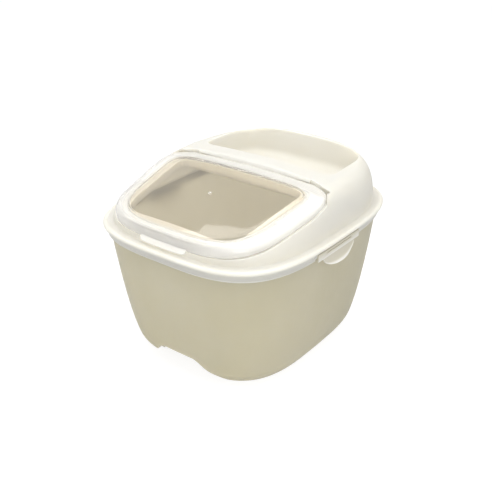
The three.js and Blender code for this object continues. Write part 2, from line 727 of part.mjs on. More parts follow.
// D-shaped tongue below the latch, curving outwards to its lower edge.
function fingerTab(face) {
  const high = LATCH_BOTTOM_Z + 2;
  const drop = high - FINGER_BOTTOM_Z;
  const levels = 6;
  const around = 20;
  const [alongPower, downPower] = FINGER_POWER;
  const skin = (turn, level, thick) => {
    const across = Math.cos(turn * Math.PI);
    const reach = (1 - Math.abs(across) ** alongPower) ** (1 / downPower);
    const down = level * reach;
    const out = FINGER_FLARE * down ** 2;
    return [face - LATCH_WALL * thick + out, LATCH_Y + FINGER_SPAN * across, high - drop * down];
  };
  // one loop around the tongue's section at each station along it
  const row = (station) => (turn) => {
    const along = turn * 2 * levels;
    const front = along <= levels;
    const level = front ? along / levels : 2 - along / levels;
    return skin(station, level, front ? 0 : 1);
  };
  const tip = 0.012;
  const stations = [];
  for (let i = 0; i <= around; i++) stations.push(blend(tip, 1 - tip, i / around));
  const endPoint = (station) => () => skin(station, 0.5, 0.5);
  const rows = [endPoint(tip), ...stations.map(row), endPoint(1 - tip)];
  return bodyFromRows(rows, 2 * levels);
}

// ---------------------------------------------------------------- scene
function plastic(name, color, roughness, extra = {}) {
  return new THREE.MeshStandardMaterial({ name, color, roughness, metalness: 0, ...extra });
}

// Corners closer to a flat face or a straight edge than this are left out.
const SMALLEST_STEP = 0.03;

function toMesh(name, body, material, position = [0, 0, 0]) {
  const { vertProperties, triVerts } = body.simplify(SMALLEST_STEP).getMesh();
  const geometry = new THREE.BufferGeometry();
  geometry.setAttribute("position", new THREE.BufferAttribute(Float32Array.from(vertProperties), 3));
  geometry.setIndex(new THREE.BufferAttribute(Uint32Array.from(triVerts), 1));
  geometry.computeVertexNormals();
  const mesh = new THREE.Mesh(geometry, material);
  mesh.name = name;
  mesh.position.set(...position);
  return mesh;
}

const latch = makeLatch();
const latchPinHalf = LATCH_HALF + LATCH_GAP + LATCH_PIN_REACH;
const latchPin = rod(LATCH_PIN_RADIUS, -latchPinHalf, latchPinHalf, "y", [0, 0, 0], PIN_SIDES);
const latchPinAt = (side) => [side * LATCH_AXIS_X, LATCH_Y, LATCH_AXIS_Z];
const flapPinHalf = KNUCKLE_HALF + EAR_GAP + EAR_LENGTH;
const flapPin = rod(PIN_RADIUS, -flapPinHalf, flapPinHalf, "x", [0, 0, 0], PIN_SIDES);
const flapPinAt = (side) => [side * KNUCKLE_X, AXIS_Y, AXIS_Z];
const clear = { transparent: true, opacity: 0.35 };

const group = new THREE.Group();
group.add(
  toMesh("tub", makeTub(), plastic("tub_plastic", "#e6e0cc", 0.45)),
  toMesh("hood", makeHood(), plastic("hood_plastic", "#f1ecdd", 0.4)),
  toMesh("flap", makeFlap(), plastic("flap_clear", "#f4f6f5", 0.08, clear)),
  toMesh("flap_pin_right", flapPin, plastic("pin_plastic", "#e9e4d2", 0.35), flapPinAt(1)),
  toMesh("flap_pin_left", flapPin, plastic("pin_plastic_left", "#e9e4d2", 0.35), flapPinAt(-1)),
  toMesh("latch_right", latch, plastic("latch_plastic", "#e8e2d0", 0.4)),
  toMesh("latch_left", mirrored(latch), plastic("latch_plastic_left", "#e8e2d0", 0.4)),
  toMesh("latch_pin_right", latchPin, plastic("rod_plastic", "#e9e4d2", 0.35), latchPinAt(1)),
  toMesh("latch_pin_left", latchPin, plastic("rod_plastic_left", "#e9e4d2", 0.35), latchPinAt(-1)),
);
export default group;
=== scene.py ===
"""Looks of the hooded litter box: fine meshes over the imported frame, moulded plastic and a white studio."""

import math

import bpy
import numpy as np
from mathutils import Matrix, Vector


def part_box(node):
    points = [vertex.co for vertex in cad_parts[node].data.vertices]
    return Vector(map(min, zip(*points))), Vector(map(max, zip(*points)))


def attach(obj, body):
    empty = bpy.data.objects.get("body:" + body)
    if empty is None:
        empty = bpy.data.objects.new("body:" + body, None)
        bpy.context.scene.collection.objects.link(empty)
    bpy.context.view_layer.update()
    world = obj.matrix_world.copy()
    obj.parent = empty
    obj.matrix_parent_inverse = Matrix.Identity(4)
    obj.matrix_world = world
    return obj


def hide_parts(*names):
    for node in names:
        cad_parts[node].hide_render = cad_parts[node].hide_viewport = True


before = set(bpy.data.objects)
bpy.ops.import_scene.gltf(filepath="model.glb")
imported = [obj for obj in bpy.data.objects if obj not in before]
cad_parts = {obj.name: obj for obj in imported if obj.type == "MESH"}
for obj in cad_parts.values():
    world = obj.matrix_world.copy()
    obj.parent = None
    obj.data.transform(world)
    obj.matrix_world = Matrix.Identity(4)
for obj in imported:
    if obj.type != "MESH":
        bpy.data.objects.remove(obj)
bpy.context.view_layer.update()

# ---- dimensions, in millimetres
MM = 0.001


def box_mm(node):
    """Lowest and highest corner of a CAD node."""
    low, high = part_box(node)
    return np.array(low) / MM, np.array(high) / MM


TUB_HIGH = box_mm("tub")[1]
HOOD_LOW, HOOD_HIGH = box_mm("hood")
LATCH_LOW, LATCH_HIGH = box_mm("latch_right")
FLAP_PIN_LOW, FLAP_PIN_HIGH = box_mm("flap_pin_right")
LATCH_PIN_LOW, LATCH_PIN_HIGH = box_mm("latch_pin_right")

# The rim: its outline, the bead, the skirt below it and the shelf inside it.
RIM_HALF_X = HOOD_HIGH[0]
RIM_HALF_Y = HOOD_HIGH[1]
RIM_POWER = 3.44  # squareness of the rim outline (2 is an ellipse)
BEAD_Z = 247.5  # height of the bead's widest line
SKIRT_BOTTOM_Z = HOOD_LOW[2]
SHELF_Z = 251.0
SHELF_INSET = 17.0  # from the rim to the foot of the hood's wall
HOOD_WALL = 3.0

# Section of the hood's outer skin, in stretches that meet end to end: how far inside the rim a point is, and
# how high over the skirt's lower edge (SKIRT_LIP) or over the bead's widest line (all the others).
SKIRT_LIP = ((8.6, 0), (7.6, 0), (6.8, 0.5), (6.5, 1.5), (6.9, 2.6), (6.4, 4))
SKIRT_WALL = ((4.6, -8.6), (2.9, -4.9), (2.1, -3.9), (0.8, -2.6))
BEAD_ROUND = ((0.8, -2.6), (0.1, -1), (0.1, 1), (1.2, 2.8), (3.4, 4))
SHELF_DIP = ((3.4, 4), (6, 4), (9.5, 3.3), (13.4, 3), (15.6, 3.4))
WALL_FOOT = ((15.6, 3.4), (16.7, 4.4), (SHELF_INSET, 6))
SKIRT_INSIDE = 9.7  # the skirt's inner side, measured like the section
BEAD_INSIDE = ((5.5, -3.5), (4, -1), (7, 0.2), (16, 0))

TUB_TOP_Z = TUB_HIGH[2]
TUB_INSET = RIM_HALF_Y - TUB_HIGH[1]  # the tub's edge stands inside the hood's skirt
TUB_WALL = 3.0
TUB_EDGE_ROUND = 1.2
BASE_HALF_X = 142.0
BASE_HALF_Y = 171.0
BASE_POWER = 3.15
BASE_SHIFT_Y = 3.6  # the base stands a little behind the rim's middle
TUB_FLARE = 0.42  # how early the wall spreads as it rises
FOOT_BAND = 0.1  # part of the height in which the wall rises straight from its foot
FOOT_SOFTNESS = 0.06
FLOOR_Z = 38.0  # ceiling of the space under the raised floor
FOOT_WIDTH = 8.0
FOOT_ROUND = 1.4
UNDER_TAPER = 6.0  # how much that space narrows upwards
UNDER_BEND = 4.0  # rounding of its upper corner
ARCH_HEIGHT = 44.5  # the hand recess in the front of the base
ARCH_HALF_WIDTH = 90.5
ARCH_RAMP = 61.0
ARCH_REAR_Y = -150.0

# Heights of the sloping top, where it passes SLOPE_Y on the middle plane.
TOP_Z = HOOD_HIGH[2]
TOP_SLOPE = 0.2
SLOPE_Y = -100.0
PANEL_Z = 309.0
EDGE_Z = 290.0
LIP_Z = 302.0
PANEL_CROWN = 6.6  # how much the panel falls at CROWN_AT to the side
EDGE_CROWN = 1.0
CROWN_AT = 150.0
LOBE_RISE = 4.5  # how much the flap's edge rises at its rear lobes

AXIS_Y = (FLAP_PIN_LOW[1] + FLAP_PIN_HIGH[1]) / 2
AXIS_Z = (FLAP_PIN_LOW[2] + FLAP_PIN_HIGH[2]) / 2
FLAP_AXIS = (0, AXIS_Y, AXIS_Z)
FLAP_WALL = 2.4
FRAME_POWER = 2.3  # squareness of the frame's section
PANEL_STEP = 2.6  # how far the raised panel stands over its frame
FLAP_LIP = 5.0
FLAP_EDGE_ROUND = 0.8
SEAT_GAP = 1.6
PANEL_GAP = 3.6
RIM_GAP = 1.2
STRIP_REAR_Y = 10.5  # rear edge of the flap between its lobes
NOTCH_HALF = 120.5
BAR_HALF = 119.5
BAR_FRONT_Y = 12.0
BAR_ROUND_DEPTH = 12.0  # how far back the bar's rounded edge reaches, and how far down
BAR_ROUND_DROP = 16.0
TROUGH_RADIUS = 15.4
TROUGH_FRONT_Y = -12.0
LOBE_RADIUS = 17.5
LOBE_END_RADIUS = 6.9
LOBE_END_ROOM = 1.0  # how much wider the hood's pocket is than the lobe's end
LOBE_END_X = 165.0
PIN_RADIUS = 1.8
PIN_CLEARANCE = 0.3
KNUCKLE_RADIUS = 4.2
KNUCKLE_X = (FLAP_PIN_LOW[0] + FLAP_PIN_HIGH[0]) / 2
KNUCKLE_HALF = 7.0
EAR_LENGTH = 7.0
EAR_GAP = 0.6
EAR_POST_HALF = 2.8
WEB_HEIGHT = 6.4  # from the flap's pins up into its skin
TAB_HALF = 48.0
TAB_WALL = 1.8
TAB_LENGTH = 11.0
TAB_TILT = 50.0  # degrees
NUB_RADIUS = 3.2
NUB_SINK = 2.1

# How milky the flap's plastic is, 0 to 1. OUTER_MILK comes on top of FRAME_MILK in the frame's outer part.
FRAME_MILK = 0.22
OUTER_MILK = 0.32
HINGE_MILK = 0.9
# the nub is made milky so that it shows as a bright spot, a painted highlight
NUB_HIGHLIGHT_MILK = 0.8
RIM_HIGHLIGHT_STRENGTH = 0.85  # how far the rim of a latch's finger tab goes to its painted highlight colour

TOP_REAR_POWER = 3.0  # squareness of the hood's top round the tray
TOP_WIDE_Y = 160.0  # where that top is as wide as the tray
SHOULDER_POWER = (1.78, 2.65)  # squareness of the shoulder's section: softest and fullest
SHOULDER_FRONT_Y = (-130.0, -200.0)  # it grows fuller between these, going forwards,
SHOULDER_REAR_Y = (-100.0, -25.0)  # and between these, going back
TOP_LEVEL_Y = (-15.0, 40.0)  # between these the sloping top becomes level
LOBE_Y = (-60.0, 0.0)  # between these the flap's edge rises to its lobes
RECESS_OPEN = 40.0  # how far the flap's recess reaches out in front of RECESS_CLOSING_Y, past the shoulder
RECESS_CLOSING_Y = (-50.0, -12.0)  # between these it closes in to RIM_GAP

LIP_ROUND = 1.2
LIP_HEIGHT = 14.0  # the lip round the opening, down to where it meets the hood
TRAY_DEPTH = 55.0
TRAY_FRONT_Y = 47.0
TRAY_SIDE = ((1, 9.5), (2, 20), (3, 32))  # inset and drop of the tray's side
TRAY_FILLET = ((3.3, 37.5), (24, TRAY_DEPTH))  # inset and drop where its fillet starts and ends
TRAY_FLAT_INSET = 45.0
CREST = 3.4  # width of the top round the tray
RIM_ROUND = 1.7  # rounding of the tray's upper edge

LATCH_Y = (LATCH_LOW[1] + LATCH_HIGH[1]) / 2
LATCH_HALF = (LATCH_HIGH[1] - LATCH_LOW[1]) / 2
LATCH_GAP = 1.2
LATCH_END_ROUND = 1.6
LATCH_END_SHRINK = 0.16  # how much smaller the bar's section is at its very ends
LATCH_TOP_ROUND = 1.6
LATCH_LOW_ROUND = 1.0
LATCH_AXIS_X = (LATCH_PIN_LOW[0] + LATCH_PIN_HIGH[0]) / 2
LATCH_AXIS_Z = (LATCH_PIN_LOW[2] + LATCH_PIN_HIGH[2]) / 2
LATCH_BARREL = 2.4
LATCH_FACE_X = 198.0
LATCH_WALL = 2.6
LATCH_TOP_Z = 242.2
LATCH_BOTTOM_Z = 229.5
LATCH_WINDOW_TOP_Z = 245.9
LATCH_PIN_RADIUS = 1.0
LATCH_PIN_REACH = 6.0  # how far a latch's pin goes into the skirt
LATCH_WINDOW_X = (186.0, 210.0)  # the gap in the skirt
LUG_INSIDE_X = 191.2  # the thicker stretch at each end of the gap
LUG_MARGIN = 1.5
LUG_BELOW = 3.0
LUG_ABOVE = 4.0
GROOVE_Z = (236.8, 239.2)
GROOVE_HALF = 37.0
GROOVE_DEPTH = 1.5
FINGER_BOTTOM_Z = LATCH_LOW[2]
FINGER_FLARE = 6.0  # how far the tab's lower end curves outwards
FINGER_SPAN = 46.0  # half the tab's width along the latch
FINGER_TOP_Z = LATCH_BOTTOM_Z + 2
FINGER_FALL = FINGER_TOP_Z - FINGER_BOTTOM_Z
FINGER_POWER = 2.4  # squareness of the tab's D along the latch, and down
FINGER_DOWN_POWER = 2.2
CATCH_TOP_Z = 230.0
CATCH_HEIGHT = 3.4
CATCH_HALF = 36.0
CATCH_X = 193.2
HOOK_GAP = 0.6
HOOK_REACH = 1.4

AROUND_OUTER = 288  # points round the visible skins
AROUND_INNER = 160  # points round the hidden ones
CREASE = 38.0  # degrees; sharper edges stay sharp in the shading


# ---- outlines
def outline(rear_half, front_half, rear_y, front_y, rear_power, front_power):
    """A closed curve seen from above, squarer than an ellipse, with its own squareness front and rear."""
    return {"half": (front_half, rear_half), "y": (front_y, rear_y), "power": (front_power, rear_power)}


RIM = outline(RIM_HALF_X, RIM_HALF_X, RIM_HALF_Y, -RIM_HALF_Y, RIM_POWER, RIM_POWER)
FLAP_EDGE = outline(184, 149, 19.5, -217, 4.6, 3.5)
PANEL = outline(148, 125, -15, -207, 8, 3.2)
OPENING = outline(132, 116, -17, -192, 14, 5.3)
TRAY = outline(131, 139, 190.5, TRAY_FRONT_Y, 3.6, 9)
PANEL_MIDDLE_Y = sum(PANEL["y"]) / 2
OPENING_MIDDLE_Y = sum(OPENING["y"]) / 2


def signed_power(value, exponent):
    return np.sign(value) * np.abs(value) ** exponent


def blend(start, end, amount):
    return start + (end - start) * amount


def smooth(edge0, edge1, value):
    t = np.clip((value - edge0) / (edge1 - edge0), 0, 1)
    return t * t * (3 - 2 * t)


def turns(count):
    """Angles round an outline, one for each point."""
    return np.arange(count) * 2 * math.pi / count


def along_outline(shape, angles, grow=0.0):
    """x and y of the outline's points, moved outwards by grow."""
    depth = np.sin(angles)
    power = np.where(depth > 0, shape["power"][1], shape["power"][0])
    middle = sum(shape["y"]) / 2
    half = (shape["y"][1] - shape["y"][0]) / 2
    unit = signed_power(depth, 2 / power)
    half_width = blend(*shape["half"], (1 + unit) / 2) + grow
    return half_width * signed_power(np.cos(angles), 2 / power), middle + (half + grow) * unit


def points(x, y, z):
    return np.stack(np.broadcast_arrays(x, y, z), axis=-1).astype(float)


def ring(shape, angles, grow, z):
    return points(*along_outline(shape, angles, grow), z)


def pole(z, y=0.0):
    return points(0.0, y, z)[None]


def eased(count, start=0.0):
    """Steps from start to 1 that are closer together at both ends."""
    u = np.linspace(0, 1, count)
    return blend(start, 1, u - 0.85 * np.sin(2 * math.pi * u) / (2 * math.pi))


def spline(controls, per_span=4):
    """A smooth line through control points, each a pair of numbers."""
    c = np.array(controls, float)
    c = np.vstack([2 * c[0] - c[1], c, 2 * c[-1] - c[-2]])
    made = []
    for before, start, end, after in zip(c, c[1:], c[2:], c[3:]):
        square = 2 * before - 5 * start + 4 * end - after
        cube = 3 * start - before - 3 * end + after
        for t in np.arange(per_span) / per_span:
            made.append(0.5 * (2 * start + (end - before) * t + square * t**2 + cube * t**3))
    return np.array([*made, c[-2]])


# ---- bodies
def new_object(name, vertices, faces):
    mesh = bpy.data.meshes.new(name)
    mesh.from_pydata((np.asarray(vertices) * MM).tolist(), [], faces)
    mesh.update()
    made = bpy.data.objects.new(name, mesh)
    bpy.context.scene.collection.objects.link(made)
    return made


def closed(name, vertices, faces):
    """A closed body with its faces turned outwards, so that its signed volume is positive."""
    fans = [(face[0], *pair) for face in faces for pair in zip(face[1:], face[2:])]
    a, b, c = (vertices[corner] for corner in np.array(fans).T)
    if np.einsum("ij,ij->", a, np.cross(b, c)) < 0:
        faces = [face[::-1] for face in faces]
    return new_object(name, vertices, faces)


def lofted(name, rings):
    """A closed body from a stack of rings. A ring of one point closes an end."""
    starts = np.cumsum([0, *[len(r) for r in rings]])
    faces = []
    for lower, upper, a, b in zip(rings, rings[1:], starts, starts[1:]):
        count = max(len(lower), len(upper))
        for i in range(count):
            j = (i + 1) % count
            if len(lower) == 1:
                faces.append((a, b + j, b + i))
            elif len(upper) == 1:
                faces.append((a + i, a + j, b))
            else:
                faces.append((a + i, a + j, b + j, b + i))
    return closed(name, np.vstack(rings), [tuple(int(k) for k in face) for face in faces])


def capped(name, rings):
    """A lofted body whose two ends close in the middle of their rings."""
    tips = [rings[i].mean(0)[None] for i in (0, -1)]
    return lofted(name, [tips[0], *rings, tips[1]])


def block(x, y, z):
    """A box between pairs of coordinates, used for cuts and small lugs."""
    corners = [[points(x[i], y[j], z[k]) for i, j in ((0, 0), (1, 0), (1, 1), (0, 1))] for k in (0, 1)]
    faces = [(3, 2, 1, 0), (4, 5, 6, 7), (0, 1, 5, 4), (1, 2, 6, 5), (2, 3, 7, 6), (3, 0, 4, 7)]
    return new_object("block", np.vstack([np.array(c) for c in corners]), faces)


def rod(radius, start, end, axis, centre, sides=48, end_radius=None):
    """A round bar along x or y from start to end."""
    end_radius = radius if end_radius is None else end_radius
    angle = turns(sides)

    def circle(at, r):
        u, v = r * np.cos(angle), r * np.sin(angle)
        if axis == "x":
            return points(at, centre[1] + u, centre[2] + v)
        return points(centre[0] + u, at, centre[2] + v)

    def tip(at):
        x, y = (at, centre[1]) if axis == "x" else (centre[0], at)
        return points(x, y, centre[2])[None]

    return lofted("rod", [tip(start), circle(start, radius), circle(end, end_radius), tip(end)])


def prism(section, ends, axis):
    """A section of points (across, up) run out along x or y, from one end to the other."""
    across, up = np.array(section, float).T
    sides = [points(at, across, up) if axis == "x" else points(across, at, up) for at in ends]
    count = len(section)
    faces = [(i, (i + 1) % count, count + (i + 1) % count, count + i) for i in range(count)]
    faces += [tuple(range(count))[::-1], tuple(range(count, 2 * count))]
    return closed("prism", np.vstack(sides), faces)


def combined(body, other, operation):
    """body cut, joined or intersected with other, which is used up."""
    modifier = body.modifiers.new("combine", "BOOLEAN")
    modifier.operation = operation
    modifier.solver = "MANIFOLD"
    modifier.object = other
    graph = bpy.context.evaluated_depsgraph_get()
    mesh = bpy.data.meshes.new_from_object(body.evaluated_get(graph))
    body.modifiers.remove(modifier)
    old, body.data = body.data, mesh
    bpy.data.meshes.remove(old)
    used = other.data
    bpy.data.objects.remove(other)
    bpy.data.meshes.remove(used)
    return body


def cut(body, *others):
    for other in others:
        combined(body, other, "DIFFERENCE")
    return body


def joined(body, *others):
    for other in others:
        combined(body, other, "UNION")
    return body


def common(body, other):
    return combined(body, other, "INTERSECT")


def vertices_of(body):
    return np.array([v.co for v in body.data.vertices]) / MM


def marked(body, name, values):
    """Gives each vertex a number that the material reads."""
    body.data.attributes.new(name, "FLOAT", "POINT").data.foreach_set("value", values)


def mirrored(body):
    """The body's mirror image in the plane x = 0, as a body of its own."""
    faces = [tuple(p.vertices)[::-1] for p in body.data.polygons]
    return new_object(body.name + "_mirror", vertices_of(body) * (-1, 1, 1), faces)


def finished(body, name, cad_nodes, cad_body, material):
    """Names the body, shades it, and puts it in the place of its CAD node."""
    body.name = name
    body.data.name = name
    body.data.materials.clear()
    body.data.materials.append(material)
    body.data.shade_smooth()
    body.data.set_sharp_from_angle(angle=math.radians(CREASE))
    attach(body, cad_body)
    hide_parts(*cad_nodes)
    return body


# ---- heights of the top
def rise(y):
    return TOP_SLOPE * (y - SLOPE_Y)


def crown(drop, x):
    return drop * (x / CROWN_AT) ** 2


def panel_height(x, y):
    return PANEL_Z + rise(y) - crown(PANEL_CROWN, x)


def lip_height(x, y):
    return LIP_Z + rise(y) - crown(PANEL_CROWN, x)


def edge_height(x, y):
    return EDGE_Z + rise(y) + LOBE_RISE * smooth(*LOBE_Y, y) - crown(EDGE_CROWN, x)


def top_height(y):
    slope = np.minimum(PANEL_Z + rise(y), PANEL_Z + rise(PANEL["y"][1]))
    return blend(slope, TOP_Z, smooth(*TOP_LEVEL_Y, y))


# ---- tub
def soft_least(a, b, softness):
    near = max(0.0, softness - abs(a - b)) / softness
    return min(a, b) - near * near * softness / 4


def tub_outline(fraction):
    """Outline of the tub's wall at a fraction of its height."""
    flare = soft_least(fraction**TUB_FLARE, fraction * FOOT_BAND ** (TUB_FLARE - 1), FOOT_SOFTNESS)
    half_x = blend(BASE_HALF_X, RIM_HALF_X - TUB_INSET, flare)
    half_y = blend(BASE_HALF_Y, RIM_HALF_Y - TUB_INSET, flare)
    power = blend(BASE_POWER, RIM_POWER, fraction)
    shift = BASE_SHIFT_Y * (1 - flare)
    return outline(half_x, half_x, shift + half_y, shift - half_y, power, power)


def arch(grow):
    """The hand recess, or the cover over it when grown."""
    reach = ARCH_HALF_WIDTH + grow
    height = ARCH_HEIGHT + grow
    below = -1 - grow
    steps = np.linspace(0, 1, 25)
    ramp = [(reach - ARCH_RAMP * t, height * smooth(0, 1, t)) for t in steps]
    left = [(-x, z) for x, z in reversed(ramp)]
    section = [(reach, below), *ramp, *left, (-reach, below)]
    return prism(section, (-RIM_HALF_Y, ARCH_REAR_Y + grow), "y")


def under_floor(grow):
    """The space under the raised floor, or the floor and foot ring round it when grown."""
    angles = turns(AROUND_INNER)
    base = tub_outline(0)
    below = -5
    top = FLOOR_Z + grow
    foot = -FOOT_WIDTH + grow
    rings = [pole(below), ring(base, angles, foot, below), ring(base, angles, foot, 0)]
    for turn in np.linspace(0, math.pi / 2, 5):
        inset = UNDER_TAPER + UNDER_BEND * (1 - math.cos(turn))
        rings.append(ring(base, angles, foot - inset, top - UNDER_BEND * (1 - math.sin(turn))))
    return lofted("under_floor", [*rings, pole(top)])


def tub_outside(angles, fractions):
    """The tub's full outer body, with its foot and its upper edge rounded."""
    base, top = tub_outline(0), tub_outline(1)
    rings = [pole(0)]
    for turn in np.linspace(0, math.pi / 2, 5)[:-1]:
        inset = FOOT_ROUND * (1 - math.sin(turn))
        rings.append(ring(base, angles, -inset, FOOT_ROUND * (1 - math.cos(turn))))
    for fraction in fractions:
        z = fraction * TUB_TOP_Z
        if z > FOOT_ROUND:
            rings.append(ring(tub_outline(fraction), angles, 0, z))
    rings[-1][:, 2] -= TUB_EDGE_ROUND
    chamfer = 0.35
    rings.append(ring(top, angles, -chamfer, TUB_TOP_Z - chamfer))
    rings.append(ring(top, angles, -TUB_EDGE_ROUND, TUB_TOP_Z))
    return lofted("tub_shell", [*rings, pole(TUB_TOP_Z)])


def make_tub():
    angles = turns(AROUND_OUTER)
    fractions = np.linspace(0, 1, 61) ** 1.3
    shell = tub_outside(angles, fractions)
    inner = [pole(TUB_WALL)]
    inner += [ring(tub_outline(f), angles, -TUB_WALL, TUB_WALL + f * TUB_TOP_Z) for f in fractions]
    inner += [pole(TUB_TOP_Z + TUB_WALL)]
    cavity = cut(lofted("tub_cavity", inner), under_floor(TUB_WALL), arch(TUB_WALL))
    rib_y = (LATCH_Y - CATCH_HALF, LATCH_Y + CATCH_HALF)
    rib_z = (CATCH_TOP_Z - CATCH_HEIGHT, CATCH_TOP_Z)
    inside = RIM_HALF_X - TUB_INSET - TUB_WALL
    joined(shell, block((inside, CATCH_X), rib_y, rib_z), block((-CATCH_X, -inside), rib_y, rib_z))
    return cut(shell, cavity, under_floor(0), arch(0))


# ---- flap
def flap_skin(angles, station, inset=0.0, drop=None):
    """Ring of the flap's skin: stations 0 to 1 cross the raised panel, 1 to 2 its rounded frame."""
    drop = drop or (lambda _: 0.0)
    if station <= 1:
        x, y = along_outline(PANEL, angles, -inset)
        x, y = x * station, blend(PANEL_MIDDLE_Y, y, station)
        return points(x, y, panel_height(x, y) - drop(0))
    turn_over = (station - 1) * math.pi / 2
    squareness = 2 / FRAME_POWER
    across = math.sin(turn_over) ** squareness
    down = max(0.0, math.cos(turn_over)) ** squareness
    ax, ay = along_outline(PANEL, angles, 1 - inset)
    bx, by = along_outline(FLAP_EDGE, angles, -inset)
    high = panel_height(ax, ay) - PANEL_STEP
    z = blend(edge_height(bx, by), high, down) - drop(across)
    return points(blend(ax, bx, across), blend(ay, by, across), z)


def edge_ring(angles, grow, below):
    """Ring under the flap's edge, moved outwards by grow, which may differ from point to point."""
    x, y = along_outline(FLAP_EDGE, angles, grow)
    return points(x, y, edge_height(*along_outline(FLAP_EDGE, angles)) - below)


def step_rings(angles, inset, lowered):
    """The raised panel's rounded step, from its top edge down to the frame."""
    start = flap_skin(angles, 0.985, inset)
    end = flap_skin(angles, 1.0001, inset)
    rings = []
    for t in np.linspace(0, 1, 9):
        made = blend(start, end, t)
        made[:, 2] = blend(start[:, 2], end[:, 2], smooth(0, 1, t)) - lowered
        rings.append(made)
    return rings


PANEL_STATIONS = (0.15, 0.35, 0.55, 0.75, 0.9)
FRAME_STATIONS = 1 + eased(22, 0.02)


def flap_shell():
    """From the middle of the flap's upper skin, over its edge, to the middle of its lower skin."""
    angles = turns(AROUND_OUTER)
    wall = lambda _: FLAP_WALL
    chamfer = 0.25
    outer_edge = [(0, FLAP_EDGE_ROUND), (-chamfer, chamfer), (-FLAP_EDGE_ROUND, 0)]
    inner_edge = [(FLAP_EDGE_ROUND, 0), (chamfer, chamfer), (0, FLAP_EDGE_ROUND)]
    top = panel_height(0, PANEL_MIDDLE_Y)
    rings = [pole(top, PANEL_MIDDLE_Y)]
    rings += [flap_skin(angles, s) for s in PANEL_STATIONS]
    rings += step_rings(angles, 0, 0)
    rings += [flap_skin(angles, s) for s in FRAME_STATIONS]
    rings += [edge_ring(angles, grow, FLAP_LIP - up) for grow, up in outer_edge]
    rings += [edge_ring(angles, grow - FLAP_WALL, FLAP_LIP - up) for grow, up in inner_edge]
    rings += [flap_skin(angles, s, FLAP_WALL, wall) for s in FRAME_STATIONS[::-1]]
    rings += step_rings(angles, FLAP_WALL, FLAP_WALL)[::-1]
    rings += [flap_skin(angles, s, FLAP_WALL, wall) for s in PANEL_STATIONS[::-1]]
    return lofted("flap_shell", [*rings, pole(top - FLAP_WALL, PANEL_MIDDLE_Y)])


def lift_tab():
    """Thin tongue with rounded corners and edges that slopes down and out from the flap's front edge."""
    angles = turns(96)
    bend = TAB_WALL / 2 - 0.1
    flat = outline(TAB_HALF, TAB_HALF, TAB_LENGTH, -TAB_LENGTH, 5, 5)
    rings = [pole(-TAB_WALL)]
    for turn in np.linspace(-math.pi / 2, math.pi / 2, 9):
        grow = -bend * (1 - math.cos(turn))
        level = -TAB_WALL / 2 + (TAB_WALL / 2) * math.sin(turn)
        rings.append(ring(flat, angles, grow, level))
    tab = lofted("lift_tab", [*rings, pole(0)])
    tilt = math.radians(TAB_TILT)
    front_y = FLAP_EDGE["y"][0]
    foot_y, foot_z = front_y + 0.6, edge_height(0, front_y) - 1.7
    for vertex in tab.data.vertices:
        x, y, z = vertex.co / MM
        turned_y = foot_y + y * math.cos(tilt) - z * math.sin(tilt)
        turned_z = foot_z + y * math.sin(tilt) + z * math.cos(tilt)
        vertex.co = Vector((x, turned_y, turned_z)) * MM
    wide, reach = TAB_HALF + 5, 30
    behind = block((-wide, wide), (foot_y, foot_y + reach), (foot_z - reach, foot_z + reach))
    return cut(tab, behind)


def nub():
    """The small moulding point in the middle of the panel."""
    angle = turns(32)
    middle_z = PANEL_Z - NUB_SINK
    rings = [pole(middle_z - NUB_RADIUS, SLOPE_Y)]
    for tilt in np.linspace(-math.pi / 2, math.pi / 2, 15)[1:-1]:
        reach = NUB_RADIUS * math.cos(tilt)
        z = middle_z + NUB_RADIUS * math.sin(tilt)
        rings.append(points(reach * np.cos(angle), SLOPE_Y + reach * np.sin(angle), z))
    return lofted("nub", [*rings, pole(middle_z + NUB_RADIUS, SLOPE_Y)])


def make_flap():
    """The clear flap with its lift tab, its nub and a knuckle for each pin."""
    flap = joined(flap_shell(), lift_tab(), nub())
    reach = 60
    notch_y = (STRIP_REAR_Y, STRIP_REAR_Y + reach)
    cut(flap, block((-NOTCH_HALF, NOTCH_HALF), notch_y, (AXIS_Z - reach, AXIS_Z + reach)))
    for middle in (-KNUCKLE_X, KNUCKLE_X):
        ends = (middle - KNUCKLE_HALF, middle + KNUCKLE_HALF)
        web = block(ends, (AXIS_Y - KNUCKLE_RADIUS, AXIS_Y + KNUCKLE_RADIUS), (AXIS_Z, AXIS_Z + WEB_HEIGHT))
        joined(flap, rod(KNUCKLE_RADIUS, *ends, "x", FLAP_AXIS), web)
        cut(flap, rod(PIN_RADIUS + PIN_CLEARANCE, ends[0] - 1, ends[1] + 1, "x", FLAP_AXIS))
    add_milk(flap)
    return flap


def add_milk(flap):
    """Marks how milky the plastic is: clear over the window, cloudier in its frame and at the hinge."""
    x, y, z = vertices_of(flap).T
    depth = (y - PANEL_MIDDLE_Y) / ((PANEL["y"][1] - PANEL["y"][0]) / 2)
    power = np.where(depth > 0, PANEL["power"][1], PANEL["power"][0])
    half = blend(*PANEL["half"], (1 + depth) / 2)
    # reach is 1 on the panel's outline and grows outwards
    reach = (np.abs(x) / np.maximum(half, 1)) ** power + np.abs(depth) ** power
    frame_part = FRAME_MILK * smooth(0.93, 1.02, reach) + OUTER_MILK * smooth(1.1, 1.6, reach)
    hinge_part = HINGE_MILK * smooth(-17.5, -14, y)
    # painted highlight: the nub's top is made milky so that it shows bright
    above = z > panel_height(x, y) + 0.15
    nub_highlight = NUB_HIGHLIGHT_MILK * (above & (np.hypot(x, y - SLOPE_Y) < 5))
    marked(flap, "milk", np.maximum.reduce([frame_part, hinge_part, nub_highlight]))


